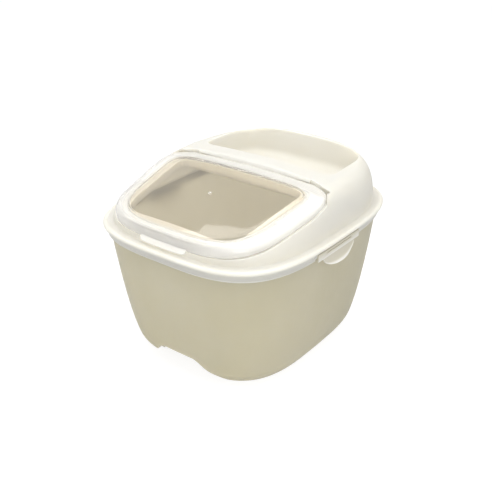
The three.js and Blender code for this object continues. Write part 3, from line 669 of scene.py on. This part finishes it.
# ---- hood
def top_outline(angles, grow=0.0):
    """Where the hood's shoulder ends and its top begins."""
    depth = np.sin(angles)
    start_y = PANEL["y"][1]
    rear = depth >= 0
    power = np.where(rear, TOP_REAR_POWER, PANEL["power"][0])
    reach = np.where(rear, TRAY["y"][1] + CREST - start_y, PANEL["y"][0] - start_y)
    unit = np.abs(depth) ** (2 / power)
    y = start_y + (reach + np.sign(reach) * grow) * unit
    half = np.where(
        rear,
        blend(PANEL["half"][1], TRAY["half"][1] + CREST, smooth(start_y, TOP_WIDE_Y, y)),
        blend(PANEL["half"][1], PANEL["half"][0], unit),
    )
    return (half + grow) * signed_power(np.cos(angles), 2 / power), y


def shoulder_power(y):
    """Squareness of the shoulder's section: soft beside the flap, fuller at the front and the tray."""
    front = blend(*SHOULDER_POWER, smooth(*SHOULDER_FRONT_Y, y))
    rear = blend(*SHOULDER_POWER, smooth(*SHOULDER_REAR_Y, y))
    return np.where(y < (SHOULDER_FRONT_Y[0] + SHOULDER_REAR_Y[0]) / 2, front, rear)


def shoulder_ring(angles, amount, inset):
    """Ring on the shoulder: 0 is the foot of the hood's wall, 1 the edge of its top."""
    fx, fy = along_outline(RIM, angles, -SHELF_INSET - inset)
    tx, ty = top_outline(angles, -inset)
    squareness = 2 / shoulder_power(blend(fy, ty, 0.5))
    angle = amount * math.pi / 2
    across = 1 - max(0.0, math.cos(angle)) ** squareness
    up = math.sin(angle) ** squareness
    top = top_height(ty) - crown(PANEL_CROWN, tx) - inset
    return points(blend(fx, tx, across), blend(fy, ty, across), blend(SHELF_Z - inset, top, up))


def top_ring(angles, fraction, inset):
    x, y = top_outline(angles, -inset)
    x, y = x * fraction, y * fraction
    return points(x, y, top_height(y) - crown(PANEL_CROWN, x) - inset)


TOP_FRACTIONS = (0.96, 0.9, 0.82, 0.73, 0.64, 0.55, 0.46, 0.38, 0.31, 0.25, 0.2, 0.15, 0.1, 0.05)


def hood_envelope(angles, inset, skirt, amounts):
    rings = [pole(skirt[0][1]), *[ring(RIM, angles, -inward, z) for inward, z in skirt]]
    rings += [shoulder_ring(angles, a, inset) for a in amounts]
    rings += [top_ring(angles, f, inset) for f in TOP_FRACTIONS]
    return lofted("hood_envelope", [*rings, pole(top_height(0.0) - inset)])


def raised(section, base):
    """A section's points with their heights counted from the ground."""
    return [(inward, base + up) for inward, up in section]


def hood_outer():
    """The hood's outer skin, with a thin lip along the skirt's lower edge and the rolled bead above it."""
    lip = raised(SKIRT_LIP, SKIRT_BOTTOM_Z)
    stretches = [spline(lip), spline([lip[-1], *raised(SKIRT_WALL, BEAD_Z)])]
    stretches += [spline(raised(section, BEAD_Z)) for section in (BEAD_ROUND, SHELF_DIP)]
    stretches.append(spline(raised(WALL_FOOT, BEAD_Z), 3))
    profile = np.vstack([stretches[0], *[stretch[1:] for stretch in stretches[1:]]])
    return hood_envelope(turns(AROUND_OUTER), 0.0, profile, eased(34, 0.045))


def hood_inner():
    """The skin inside the hood's wall."""
    profile = raised([(SKIRT_INSIDE, -5), (SKIRT_INSIDE, 0)], SKIRT_BOTTOM_Z)
    profile += raised(BEAD_INSIDE, BEAD_Z)
    return hood_envelope(turns(AROUND_INNER), HOOD_WALL, profile, eased(14))


def recess(grow, around):
    """The space that the hood leaves for the flap, or the wall under it when grown."""
    angles = turns(around)
    rebate = FLAP_WALL + RIM_GAP - grow
    foot = FLAP_LIP + RIM_GAP + grow
    lower = lambda across: FLAP_WALL + blend(PANEL_GAP, SEAT_GAP, across) + grow
    edge_y = along_outline(FLAP_EDGE, angles)[1]
    outward = blend(RECESS_OPEN, RIM_GAP + grow, smooth(*RECESS_CLOSING_Y, edge_y))
    rings = [pole(panel_height(0, PANEL_MIDDLE_Y) - lower(0), PANEL_MIDDLE_Y)]
    rings += [flap_skin(angles, s, rebate, lower) for s in (0.5, 0.9, *(1 + eased(14, 0.001)))]
    rings += [edge_ring(angles, -rebate, foot), edge_ring(angles, outward, foot)]
    rings += [edge_ring(angles, outward, -TOP_Z / 2), pole(PANEL_Z + TOP_Z / 2, PANEL_MIDDLE_Y)]
    return lofted("recess", rings)


def bar(inset):
    """The tray's front wall, whose rounded upper edge fills the notch between the flap's lobes."""
    front, back = BAR_FRONT_Y + inset, TRAY_FRONT_Y + 10
    bottom, above = AXIS_Z - 30, TOP_Z + 5
    start = (front, TOP_Z - BAR_ROUND_DROP)
    control = (front, TOP_Z - 2.5)
    end = (front + BAR_ROUND_DEPTH, TOP_Z + 0.5)
    section = [(front, bottom)]
    for t in np.linspace(0, 1, 17):
        pairs = zip(start, control, end)
        section.append([(1 - t) ** 2 * a + 2 * t * (1 - t) * b + t * t * c for a, b, c in pairs])
    section += [(end[0], above), (back, above), (back, bottom)]
    half = BAR_HALF - inset
    return prism(section, (-half, half), "x")


def trough(grow):
    """Channel in front of the bar, with deeper pockets at its ends for the flap's lobes."""
    body = rod(TROUGH_RADIUS + grow, -BAR_HALF - 1, BAR_HALF + 1, "x", FLAP_AXIS, 96)
    for side in (-1, 1):
        near, far = side * (BAR_HALF - grow), side * (LOBE_END_X + grow)
        end_radius = LOBE_END_RADIUS + LOBE_END_ROOM + grow
        joined(body, rod(LOBE_RADIUS + grow, near, far, "x", FLAP_AXIS, 96, end_radius))
    wide = LOBE_END_X + 10
    depth = (TROUGH_FRONT_Y - grow, TROUGH_RADIUS * 2)
    return common(body, block((-wide, wide), depth, (AXIS_Z - 30, TOP_Z)))


def tray_hollow(grow):
    """The tray's hollow: near-upright sides, a wide fillet and a flat floor, under a rolled upper edge."""
    angles = turns(AROUND_OUTER)
    middle_y = sum(TRAY["y"]) / 2

    def rim_ring(outward, drop):
        x, y = along_outline(TRAY, angles, outward)
        return points(x, y, top_height(y) - crown(PANEL_CROWN, x) - drop)

    rings = [pole(TOP_Z + 30, middle_y), ring(TRAY, angles, grow + 8, TOP_Z + 30)]
    if grow:
        rings.append(ring(TRAY, angles, grow, TOP_Z - grow))
    else:
        rings.append(rim_ring(RIM_ROUND + 4, -1.2))
        for tilt in np.linspace(math.radians(14), math.pi / 2, 8):
            rings.append(rim_ring(RIM_ROUND * (1 - math.sin(tilt)), RIM_ROUND * (1 - math.cos(tilt))))
    steps = list(TRAY_SIDE)
    start, end = np.array(TRAY_FILLET)
    for tilt in np.linspace(0, math.pi / 2, 15):
        turned = np.array([1 - max(0.0, math.cos(tilt)) ** 0.9, math.sin(tilt) ** 0.9])
        steps.append(blend(start, end, turned))
    steps.append((TRAY_FLAT_INSET, TRAY_DEPTH))
    rings += [ring(TRAY, angles, grow - inset, TOP_Z - drop - grow) for inset, drop in steps]
    return lofted("tray_hollow", [*rings, pole(TOP_Z - TRAY_DEPTH - grow, middle_y)])


def collar():
    """The lip round the opening, with a rounded upper edge."""
    angles = turns(AROUND_OUTER)

    def level(grow, drop):
        x, y = along_outline(OPENING, angles, grow)
        return points(x, y, lip_height(x, y) - drop)

    top = lip_height(0, OPENING_MIDDLE_Y)
    rings = [pole(top - LIP_HEIGHT, OPENING_MIDDLE_Y), level(HOOD_WALL, LIP_HEIGHT)]
    for tilt in np.linspace(0, math.pi / 2, 6):
        rings.append(level(HOOD_WALL - LIP_ROUND * (1 - math.cos(tilt)), LIP_ROUND * (1 - math.sin(tilt))))
    return lofted("collar", [*rings, pole(top, OPENING_MIDDLE_Y)])


def opening():
    """The shaft inside the lip, longer than the hood is deep."""
    angles = turns(AROUND_OUTER)
    low, high = SHELF_Z - 40, TOP_Z + 20
    walls = [ring(OPENING, angles, 0, z) for z in (low, high)]
    return lofted("opening", [pole(low, OPENING_MIDDLE_Y), *walls, pole(high, OPENING_MIDDLE_Y)])


def ears():
    """The hood's four ears, which hold the flap's pins."""
    parts = []
    for side in (-1, 1):
        for end in (-1, 1):
            near = KNUCKLE_X + end * (KNUCKLE_HALF + EAR_GAP)
            far = near + end * EAR_LENGTH
            span = sorted((side * near, side * far))
            post_y = (AXIS_Y - EAR_POST_HALF, AXIS_Y + EAR_POST_HALF)
            post = block(span, post_y, (AXIS_Z - TROUGH_RADIUS - 1, AXIS_Z))
            ear = joined(rod(KNUCKLE_RADIUS, *span, "x", FLAP_AXIS), post)
            bore = rod(PIN_RADIUS + PIN_CLEARANCE, span[0] - 1, span[1] + 1, "x", FLAP_AXIS)
            parts.append(cut(ear, bore))
    return parts


def latch_seat(hood, side):
    """Gap in the skirt for a latch, with a thicker stretch at each end that holds the latch's pin."""
    near = LATCH_HALF + LATCH_GAP
    far = near + LATCH_PIN_REACH
    span = lambda low, high: sorted((side * low, side * high))
    window_y = (LATCH_Y - near, LATCH_Y + near)
    cut(hood, block(span(*LATCH_WINDOW_X), window_y, (SKIRT_BOTTOM_Z - 5, LATCH_WINDOW_TOP_Z)))
    lug_x = span(LUG_INSIDE_X, LATCH_AXIS_X + LATCH_BARREL)
    lug_z = (LATCH_AXIS_Z - LUG_BELOW, LATCH_AXIS_Z + LUG_ABOVE)
    past = far + LUG_MARGIN
    for lug_y in ((LATCH_Y - past, LATCH_Y - near), (LATCH_Y + near, LATCH_Y + past)):
        joined(hood, block(lug_x, lug_y, lug_z))
    hole = LATCH_PIN_RADIUS + PIN_CLEARANCE
    reach = far + PIN_CLEARANCE
    centre = (side * LATCH_AXIS_X, 0, LATCH_AXIS_Z)
    return cut(hood, rod(hole, LATCH_Y - reach, LATCH_Y + reach, "y", centre))


def make_hood():
    """The outer skin less the cavity, which leaves a wall round the recess, the trough and the tray."""
    seat = cut(recess(HOOD_WALL, AROUND_INNER), bar(HOOD_WALL))
    cavity = cut(hood_inner(), seat, trough(HOOD_WALL), tray_hollow(HOOD_WALL), collar())
    lip = common(collar(), hood_outer())
    hood = cut(hood_outer(), cavity, cut(recess(0.0, AROUND_OUTER), bar(0.0)), trough(0.0))
    joined(hood, lip)
    cut(hood, tray_hollow(0.0), opening())
    joined(hood, *ears())
    for side in (-1, 1):
        latch_seat(hood, side)
    return hood


# ---- latches
def latch_bar():
    """The latch's bar: its section in x and z, run along the side with rounded ends."""
    back = LATCH_FACE_X - LATCH_WALL
    shoulder_z = LATCH_AXIS_Z - LATCH_BARREL
    low_x, low_z = LATCH_FACE_X - LATCH_LOW_ROUND, LATCH_BOTTOM_Z + LATCH_LOW_ROUND
    top_x, top_z = LATCH_FACE_X - LATCH_TOP_ROUND, LATCH_TOP_Z - LATCH_TOP_ROUND
    corner = [(math.cos(a), math.sin(a)) for a in np.linspace(0, math.pi / 2, 7)]
    section = [(LATCH_AXIS_X, shoulder_z), (back, shoulder_z), (back, LATCH_BOTTOM_Z)]
    section += [(low_x + LATCH_LOW_ROUND * s, low_z - LATCH_LOW_ROUND * c) for c, s in corner]
    section += [(top_x + LATCH_TOP_ROUND * c, top_z + LATCH_TOP_ROUND * s) for c, s in corner]
    section = np.array([*section, (LATCH_AXIS_X, LATCH_AXIS_Z + LATCH_BARREL)])
    centre = section.mean(0)
    tilts = np.linspace(0, math.pi / 2, 7)
    rings = []
    for end in (-1, 1):
        for tilt in tilts if end < 0 else tilts[::-1]:
            shrink = 1 - LATCH_END_SHRINK * (1 - math.sin(tilt))
            y = LATCH_Y + end * LATCH_HALF - end * LATCH_END_ROUND * (1 - math.cos(tilt))
            xz = blend(centre, section, shrink)
            rings.append(points(xz[:, 0], y, xz[:, 1]))
    return capped("latch_bar", rings)


def finger_reach(across):
    """How far down the finger tab's D goes at a place across it, as a part of its height."""
    return (1 - np.abs(across) ** FINGER_POWER) ** (1 / FINGER_DOWN_POWER)


def finger_tab():
    """D-shaped tongue below the latch that curves outwards and ends in a thickened, rounded rim."""
    levels = np.linspace(0, 1, 21)

    def skin(station, level, thick):
        across = math.cos(station * math.pi)
        reach = finger_reach(across)
        down = level * reach
        out = FINGER_FLARE * (0.35 * down**2 + 0.65 * down**6) - 0.5
        if thick == 0:
            out += smooth(0.78, 0.92, level) * smooth(0.05, 0.3, reach)
        x = LATCH_FACE_X - LATCH_WALL * thick + out
        return x, LATCH_Y + FINGER_SPAN * across, FINGER_TOP_Z - FINGER_FALL * down

    rings = []
    for station in blend(0.012, 0.988, np.linspace(0, 1, 57)):
        loop = [skin(station, level, 0) for level in levels]
        loop += [skin(station, 1 + 0.02 * math.sin(math.pi * t), t) for t in (0.25, 0.5, 0.75)]
        loop += [skin(station, level, 1) for level in levels[::-1]]
        rings.append(np.array(loop))
    return capped("finger_tab", rings)


def add_rim_highlight(latch):
    """Marks the finger tab's rim for a painted highlight, lighter than the rest of the latch."""
    place = vertices_of(latch)
    across = np.clip((place[:, 1] - LATCH_Y) / FINGER_SPAN, -1, 1)
    level = (FINGER_TOP_Z - place[:, 2]) / np.maximum(FINGER_FALL * finger_reach(across), 1)
    marked(latch, "rim", RIM_HIGHLIGHT_STRENGTH * smooth(0.8, 0.93, level))


def make_latch():
    """The right latch: barrel, bar, hook and finger tab."""
    ends = (LATCH_Y - LATCH_HALF, LATCH_Y + LATCH_HALF)
    axis = (LATCH_AXIS_X, 0, LATCH_AXIS_Z)
    hook_top = CATCH_TOP_Z - CATCH_HEIGHT - HOOK_GAP
    hook_y = (LATCH_Y - CATCH_HALF + 2, LATCH_Y + CATCH_HALF - 2)
    hook_x = (CATCH_X - HOOK_REACH, LATCH_FACE_X - 0.6)
    hook = block(hook_x, hook_y, (hook_top - CATCH_HEIGHT, hook_top))
    latch = joined(rod(LATCH_BARREL, *ends, "y", axis), latch_bar(), hook, finger_tab())
    groove_y = (LATCH_Y - GROOVE_HALF, LATCH_Y + GROOVE_HALF)
    cut(latch, block((LATCH_FACE_X - GROOVE_DEPTH, LATCH_FACE_X + 1), groove_y, GROOVE_Z))
    return cut(latch, rod(LATCH_PIN_RADIUS + PIN_CLEARANCE, ends[0] - 1, ends[1] + 1, "y", axis))


# ---- materials
def material(name):
    made = bpy.data.materials.new(name)
    made.use_nodes = True
    nodes = made.node_tree.nodes
    shader = nodes["Principled BSDF"]
    return made, nodes, made.node_tree.links, shader


def set_inputs(node, values):
    for name, value in values.items():
        node.inputs[name].default_value = value


def noise(nodes, links, coordinates, scale, detail, roughness=0.5):
    node = nodes.new("ShaderNodeTexNoise")
    set_inputs(node, {"Scale": scale, "Detail": detail, "Roughness": roughness})
    links.new(coordinates, node.inputs["Vector"])
    return node.outputs["Fac"]


def ramp(nodes, links, factor, stops):
    """A colour ramp from positions and colours."""
    node = nodes.new("ShaderNodeValToRGB")
    node.color_ramp.elements.remove(node.color_ramp.elements[1])
    for i, (position, color) in enumerate(stops):
        element = node.color_ramp.elements[0] if i == 0 else node.color_ramp.elements.new(position)
        element.position = position
        element.color = (*color, 1)
    links.new(factor, node.inputs["Fac"])
    return node.outputs["Color"]


def mixed(nodes, links, factor, a, b):
    """Colour b over colour a by a factor; each may be a socket."""
    node = nodes.new("ShaderNodeMix")
    node.data_type = "RGBA"
    for socket, value in ((node.inputs[0], factor), (node.inputs[6], a), (node.inputs[7], b)):
        if isinstance(value, bpy.types.NodeSocket):
            links.new(value, socket)
        else:
            socket.default_value = value if isinstance(value, (int, float)) else (*value, 1)
    return node.outputs[2]


def mapped(nodes, links, value, low, high, to_low, to_high):
    node = nodes.new("ShaderNodeMapRange")
    set_inputs(node, {"From Min": low, "From Max": high, "To Min": to_low, "To Max": to_high})
    links.new(value, node.inputs["Value"])
    return node.outputs["Result"]


def calculated(nodes, links, operation, first, second):
    """Arithmetic on two values, the second of which may be a plain number."""
    node = nodes.new("ShaderNodeMath")
    node.operation = operation
    links.new(first, node.inputs[0])
    if isinstance(second, float):
        node.inputs[1].default_value = second
    else:
        links.new(second, node.inputs[1])
    return node.outputs[0]


def mixed_shader(nodes, links, factor, a, b):
    node = nodes.new("ShaderNodeMixShader")
    for source, socket in zip((factor, a.outputs[0], b.outputs[0]), node.inputs):
        links.new(source, socket)
    return node.outputs[0]


def bump(nodes, links, height, strength, distance, under=None):
    """Normals bent by a height, over the normals of another bump where one is given."""
    node = nodes.new("ShaderNodeBump")
    set_inputs(node, {"Strength": strength, "Distance": distance})
    links.new(height, node.inputs["Height"])
    if under:
        links.new(under, node.inputs["Normal"])
    return node.outputs["Normal"]


def attribute(nodes, name):
    """The number that marked() gave each vertex."""
    node = nodes.new("ShaderNodeAttribute")
    node.attribute_name = name
    return node.outputs["Fac"]


PLASTIC_IOR = 1.49
# painted highlight along the lower edge of the hood's skirt
SKIRT_EDGE_HIGHLIGHT = (0.86, 0.84, 0.76)
# painted highlight on the rim of a latch's finger tab
RIM_HIGHLIGHT_COLOUR = (0.93, 0.915, 0.86)
CLOUD_COLOUR = (0.9, 0.88, 0.82)
# painted shade along the ribs across the hinge
RIB_SHADE_COLOUR = (0.62, 0.60, 0.54)
BEAM_COLOUR = (0.985, 0.98, 0.97, 1)

# The clear plastic's colour by how milky it is. The greyer stops at 0.08 and 0.14 paint a shade line
# along the raised panel's step.
CLEAR_TONES_AND_STEP_SHADE = (
    (0.0, (0.985, 0.932, 0.835)),
    (0.08, (0.95, 0.92, 0.86)),
    (0.14, (0.90, 0.88, 0.83)),
    (0.21, (0.965, 0.96, 0.945)),
    (0.55, (0.985, 0.975, 0.95)),
    (1.0, (0.80, 0.785, 0.735)),
)


def skirt_shade_and_highlight(nodes, links, at, colour, skirt_shade_colour):
    """Painted shade on the skirt under the bead, and a painted highlight along the skirt's lower edge."""
    split = nodes.new("ShaderNodeSeparateXYZ")
    links.new(at, split.inputs[0])
    z = split.outputs["Z"]
    below = mapped(nodes, links, z, (BEAD_Z - 2.4) * MM, (BEAD_Z - 4.2) * MM, 0, 1)
    colour = mixed(nodes, links, below, colour, skirt_shade_colour)
    lip = mapped(nodes, links, z, (SKIRT_BOTTOM_Z + 2.6) * MM, (SKIRT_BOTTOM_Z + 1.6) * MM, 0, 0.8)
    return mixed(nodes, links, lip, colour, SKIRT_EDGE_HIGHLIGHT)


def moulded_plastic(name, light, dark, gloss, glow=(0.7, 0.007), skirt_shade_colour=None, rim_highlight=False):
    """Moulded plastic: cloudy colour, fine spark-eroded grain, faint flow marks and rubbed spots.

    gloss is its roughness, and glow how strongly and how deep light scatters in it. The last two arguments
    paint shade on the hood's skirt under its bead, and a highlight on the rim of a latch's finger tab.
    """
    made, nodes, links, shader = material(name)
    at = nodes.new("ShaderNodeTexCoord").outputs["Object"]
    clouds = noise(nodes, links, at, scale=9, detail=3)
    colour = ramp(nodes, links, clouds, [(0.3, dark), (0.7, light)])
    if skirt_shade_colour:
        # painted shade on the skirt under the bead, and a painted highlight along its lower edge
        colour = skirt_shade_and_highlight(nodes, links, at, colour, skirt_shade_colour)
    # painted highlight on the rim of a latch's finger tab
    if rim_highlight:
        colour = mixed(nodes, links, attribute(nodes, "rim"), colour, RIM_HIGHLIGHT_COLOUR)
    specks = mapped(nodes, links, noise(nodes, links, at, scale=900, detail=2), 0.66, 0.78, 0, 0.25)
    colour = mixed(nodes, links, specks, colour, tuple(0.86 * c for c in dark))
    links.new(colour, shader.inputs["Base Color"])

    upright = nodes.new("ShaderNodeMapping")
    upright.inputs["Scale"].default_value = (1, 1, 0.08)
    links.new(at, upright.inputs["Vector"])
    rubbed = noise(nodes, links, upright.outputs["Vector"], scale=240, detail=4, roughness=0.7)
    roughness = mapped(nodes, links, rubbed, 0.35, 0.7, gloss - 0.05, gloss + 0.08)
    links.new(roughness, shader.inputs["Roughness"])

    marks = noise(nodes, links, at, scale=22, detail=2)
    grains = noise(nodes, links, at, scale=1500, detail=2)
    flow = bump(nodes, links, marks, strength=0.05, distance=0.002)
    grain = bump(nodes, links, grains, strength=0.05, distance=0.0002, under=flow)
    links.new(grain, shader.inputs["Normal"])
    set_inputs(shader, {"Subsurface Weight": glow[0], "Subsurface Scale": glow[1]})
    set_inputs(shader, {"Subsurface Radius": (1.0, 0.96, 0.88), "IOR": PLASTIC_IOR})
    return made


def hood_plastic():
    # skirt is the painted shade colour for the skirt under the bead
    light, dark, skirt = (0.86, 0.82, 0.715), (0.84, 0.795, 0.685), (0.86, 0.815, 0.69)
    return moulded_plastic("ivory_hood", light, dark, 0.34, glow=(0.85, 0.012), skirt_shade_colour=skirt)


def tub_plastic():
    return moulded_plastic("ivory_tub", (0.638, 0.572, 0.395), (0.608, 0.542, 0.36), 0.4, glow=(1.0, 0.028))


def latch_plastic():
    light, dark = (0.685, 0.65, 0.54), (0.655, 0.615, 0.5)
    return moulded_plastic("ivory_latch", light, dark, 0.36, glow=(0.1, 0.002), rim_highlight=True)


def pin_plastic():
    return moulded_plastic("pin_plastic", (0.84, 0.82, 0.76), (0.8, 0.78, 0.71), 0.42)


def clear_plastic():
    """Clear styrene, milky in its frame and at the hinge. Shadow rays pass straight through it."""
    made, nodes, links, shader = material("clear_flap")
    at = nodes.new("ShaderNodeTexCoord").outputs["Object"]
    milk = attribute(nodes, "milk")
    clouds = mapped(nodes, links, noise(nodes, links, at, scale=14, detail=2), 0.35, 0.7, 0, 0.12)
    # the clear plastic's tones, with a painted shade line along the panel's step
    colour = ramp(nodes, links, milk, CLEAR_TONES_AND_STEP_SHADE)
    colour = mixed(nodes, links, clouds, colour, CLOUD_COLOUR)
    clarity = mapped(nodes, links, milk, 0, 1, 0.95, 0.2)
    links.new(clarity, shader.inputs["Transmission Weight"])
    marks = noise(nodes, links, at, scale=160, detail=5, roughness=0.75)
    links.new(mapped(nodes, links, marks, 0.5, 0.75, 0.03, 0.09), shader.inputs["Roughness"])

    # fine ribs across the hinge, where the plastic is cloudy, with painted shade along them
    ribs = nodes.new("ShaderNodeTexWave")
    ribs.bands_direction = "Y"
    ribs.wave_profile = "SIN"
    ribs.inputs["Scale"].default_value = 70
    links.new(at, ribs.inputs["Vector"])
    cloudy = mapped(nodes, links, milk, 0.5, 0.9, 0, 1)
    ribbed = calculated(nodes, links, "MULTIPLY", ribs.outputs["Fac"], cloudy)
    # painted shade along the ribs
    painted_rib_shade = mapped(nodes, links, ribbed, 0.35, 1, 0, 0.35)
    links.new(mixed(nodes, links, painted_rib_shade, colour, RIB_SHADE_COLOUR), shader.inputs["Base Color"])
    ridges = bump(nodes, links, ribbed, strength=0.5, distance=0.0005)
    ripples = noise(nodes, links, at, scale=30, detail=2)
    wave = bump(nodes, links, ripples, strength=0.03, distance=0.002, under=ridges)
    links.new(wave, shader.inputs["Normal"])
    shader.inputs["IOR"].default_value = PLASTIC_IOR

    path = nodes.new("ShaderNodeLightPath")
    through = nodes.new("ShaderNodeBsdfTransparent")
    through.inputs["Color"].default_value = BEAM_COLOUR
    surface = mixed_shader(nodes, links, path.outputs["Is Shadow Ray"], shader, through)
    links.new(surface, nodes["Material Output"].inputs["Surface"])
    return made


# ---- studio
def plainly_seen(nodes, links):
    """1 for a ray that leaves the camera and meets at most clear plastic on its way, and 0 for any other."""
    path = nodes.new("ShaderNodeLightPath")
    unscattered = calculated(nodes, links, "LESS_THAN", path.outputs["Diffuse Depth"], 0.5)
    through = calculated(nodes, links, "MULTIPLY", path.outputs["Is Transmission Ray"], unscattered)
    return calculated(nodes, links, "MAXIMUM", path.outputs["Is Camera Ray"], through)


WHITE = (1, 1, 1, 1)
FLOOR_HALF = 20.0 / MM
FLOOR_LIT, FLOOR_SEEN = 0.42, 0.85
WORLD_LIT, WORLD_SEEN = 0.66, 1.0


def add_floor():
    """White to the camera, and a little dimmer as a source of bounced light."""
    corners = np.array([(-1, -1, 0), (1, -1, 0), (1, 1, 0), (-1, 1, 0)]) * FLOOR_HALF
    floor = new_object("floor", corners, [(0, 1, 2, 3)])
    made, nodes, links, shader = material("floor_white")
    set_inputs(shader, {"Base Color": (0.25, 0.25, 0.25, 1), "Emission Color": WHITE})
    set_inputs(shader, {"Roughness": 0.9, "Specular IOR Level": 0.0})
    strength = mapped(nodes, links, plainly_seen(nodes, links), 0, 1, FLOOR_LIT, FLOOR_SEEN)
    links.new(strength, shader.inputs["Emission Strength"])
    floor.data.materials.append(made)


def add_world():
    """A bright backdrop for the camera, and a dimmer sky for all other rays."""
    world = bpy.data.worlds.new("studio")
    world.use_nodes = True
    nodes, links = world.node_tree.nodes, world.node_tree.links
    nodes.clear()
    lit, seen = (nodes.new("ShaderNodeBackground") for _ in range(2))
    set_inputs(lit, {"Color": WHITE, "Strength": WORLD_LIT})
    set_inputs(seen, {"Color": WHITE, "Strength": WORLD_SEEN})
    surface = mixed_shader(nodes, links, plainly_seen(nodes, links), lit, seen)
    out = nodes.new("ShaderNodeOutputWorld")
    links.new(surface, out.inputs["Surface"])
    bpy.context.scene.world = world


def add_area(name, place, target, size, watts):
    """A rectangular lamp at a place, turned to its target; lengths in metres."""
    light = bpy.data.lights.new(name, "AREA")
    light.shape = "RECTANGLE"
    light.size, light.size_y = size
    light.energy = watts
    made = bpy.data.objects.new(name, light)
    made.location = place
    made.rotation_mode = "QUATERNION"
    made.rotation_quaternion = (Vector(target) - Vector(place)).to_track_quat("-Z", "Y")
    bpy.context.scene.collection.objects.link(made)


def add_camera():
    """The photo's view: azimuth from the front towards the object's right side, elevation over the floor."""
    distance = 1.4684
    azimuth, elevation = math.radians(37.404), math.radians(27.464)
    target = Vector((0, 0, 0.15))
    level = math.cos(elevation)
    back = Vector((math.sin(azimuth) * level, -math.cos(azimuth) * level, math.sin(elevation)))
    data = bpy.data.cameras.new("camera")
    data.sensor_width = 36
    data.lens = 58.91
    data.shift_x = -0.0022
    data.shift_y = 0.0201
    data.clip_end = 100
    camera = bpy.data.objects.new("camera", data)
    camera.rotation_mode = "QUATERNION"
    camera.location = target + back * distance
    camera.rotation_quaternion = (-back).to_track_quat("-Z", "Y")
    bpy.context.scene.collection.objects.link(camera)
    bpy.context.scene.camera = camera


# ---- the scene
hood_ivory = hood_plastic()
tub_cream = tub_plastic()
latch_ivory = latch_plastic()
pin_white = pin_plastic()
flap_clear = clear_plastic()

finished(make_tub(), "tub_shell", ["tub"], "tub", tub_cream)
finished(make_hood(), "hood_shell", ["hood"], "hood", hood_ivory)
finished(make_flap(), "flap_clear", ["flap"], "flap", flap_clear)
right_latch = make_latch()
left_latch = mirrored(right_latch)
for latch, side in ((right_latch, "right"), (left_latch, "left")):
    # marks where the painted highlight on the tab's rim goes
    add_rim_highlight(latch)
    finished(latch, f"latch_tab_{side}", [f"latch_{side}"], f"latch_{side}", latch_ivory)
for slot in ("flap_pin", "latch_pin"):
    for side in ("right", "left"):
        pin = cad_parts[f"{slot}_{side}"]
        pin.data.materials.clear()
        pin.data.materials.append(pin_white)

add_floor()
add_world()
add_area("softbox", place=(0, 0, 1.6), target=(0, 0, 0), size=(2.0, 1.41), watts=16.5)
add_area("fill_left", place=(-1.5, -1.3, 1.3), target=(0, 0, 0.2), size=(1.4, 1.4), watts=4.4)
add_area("fill_right", place=(1.25, -1.35, 0.8), target=(0, 0, 0.15), size=(1.0, 1.0), watts=9)
add_camera()
bpy.context.scene.view_settings.view_transform = "Standard"
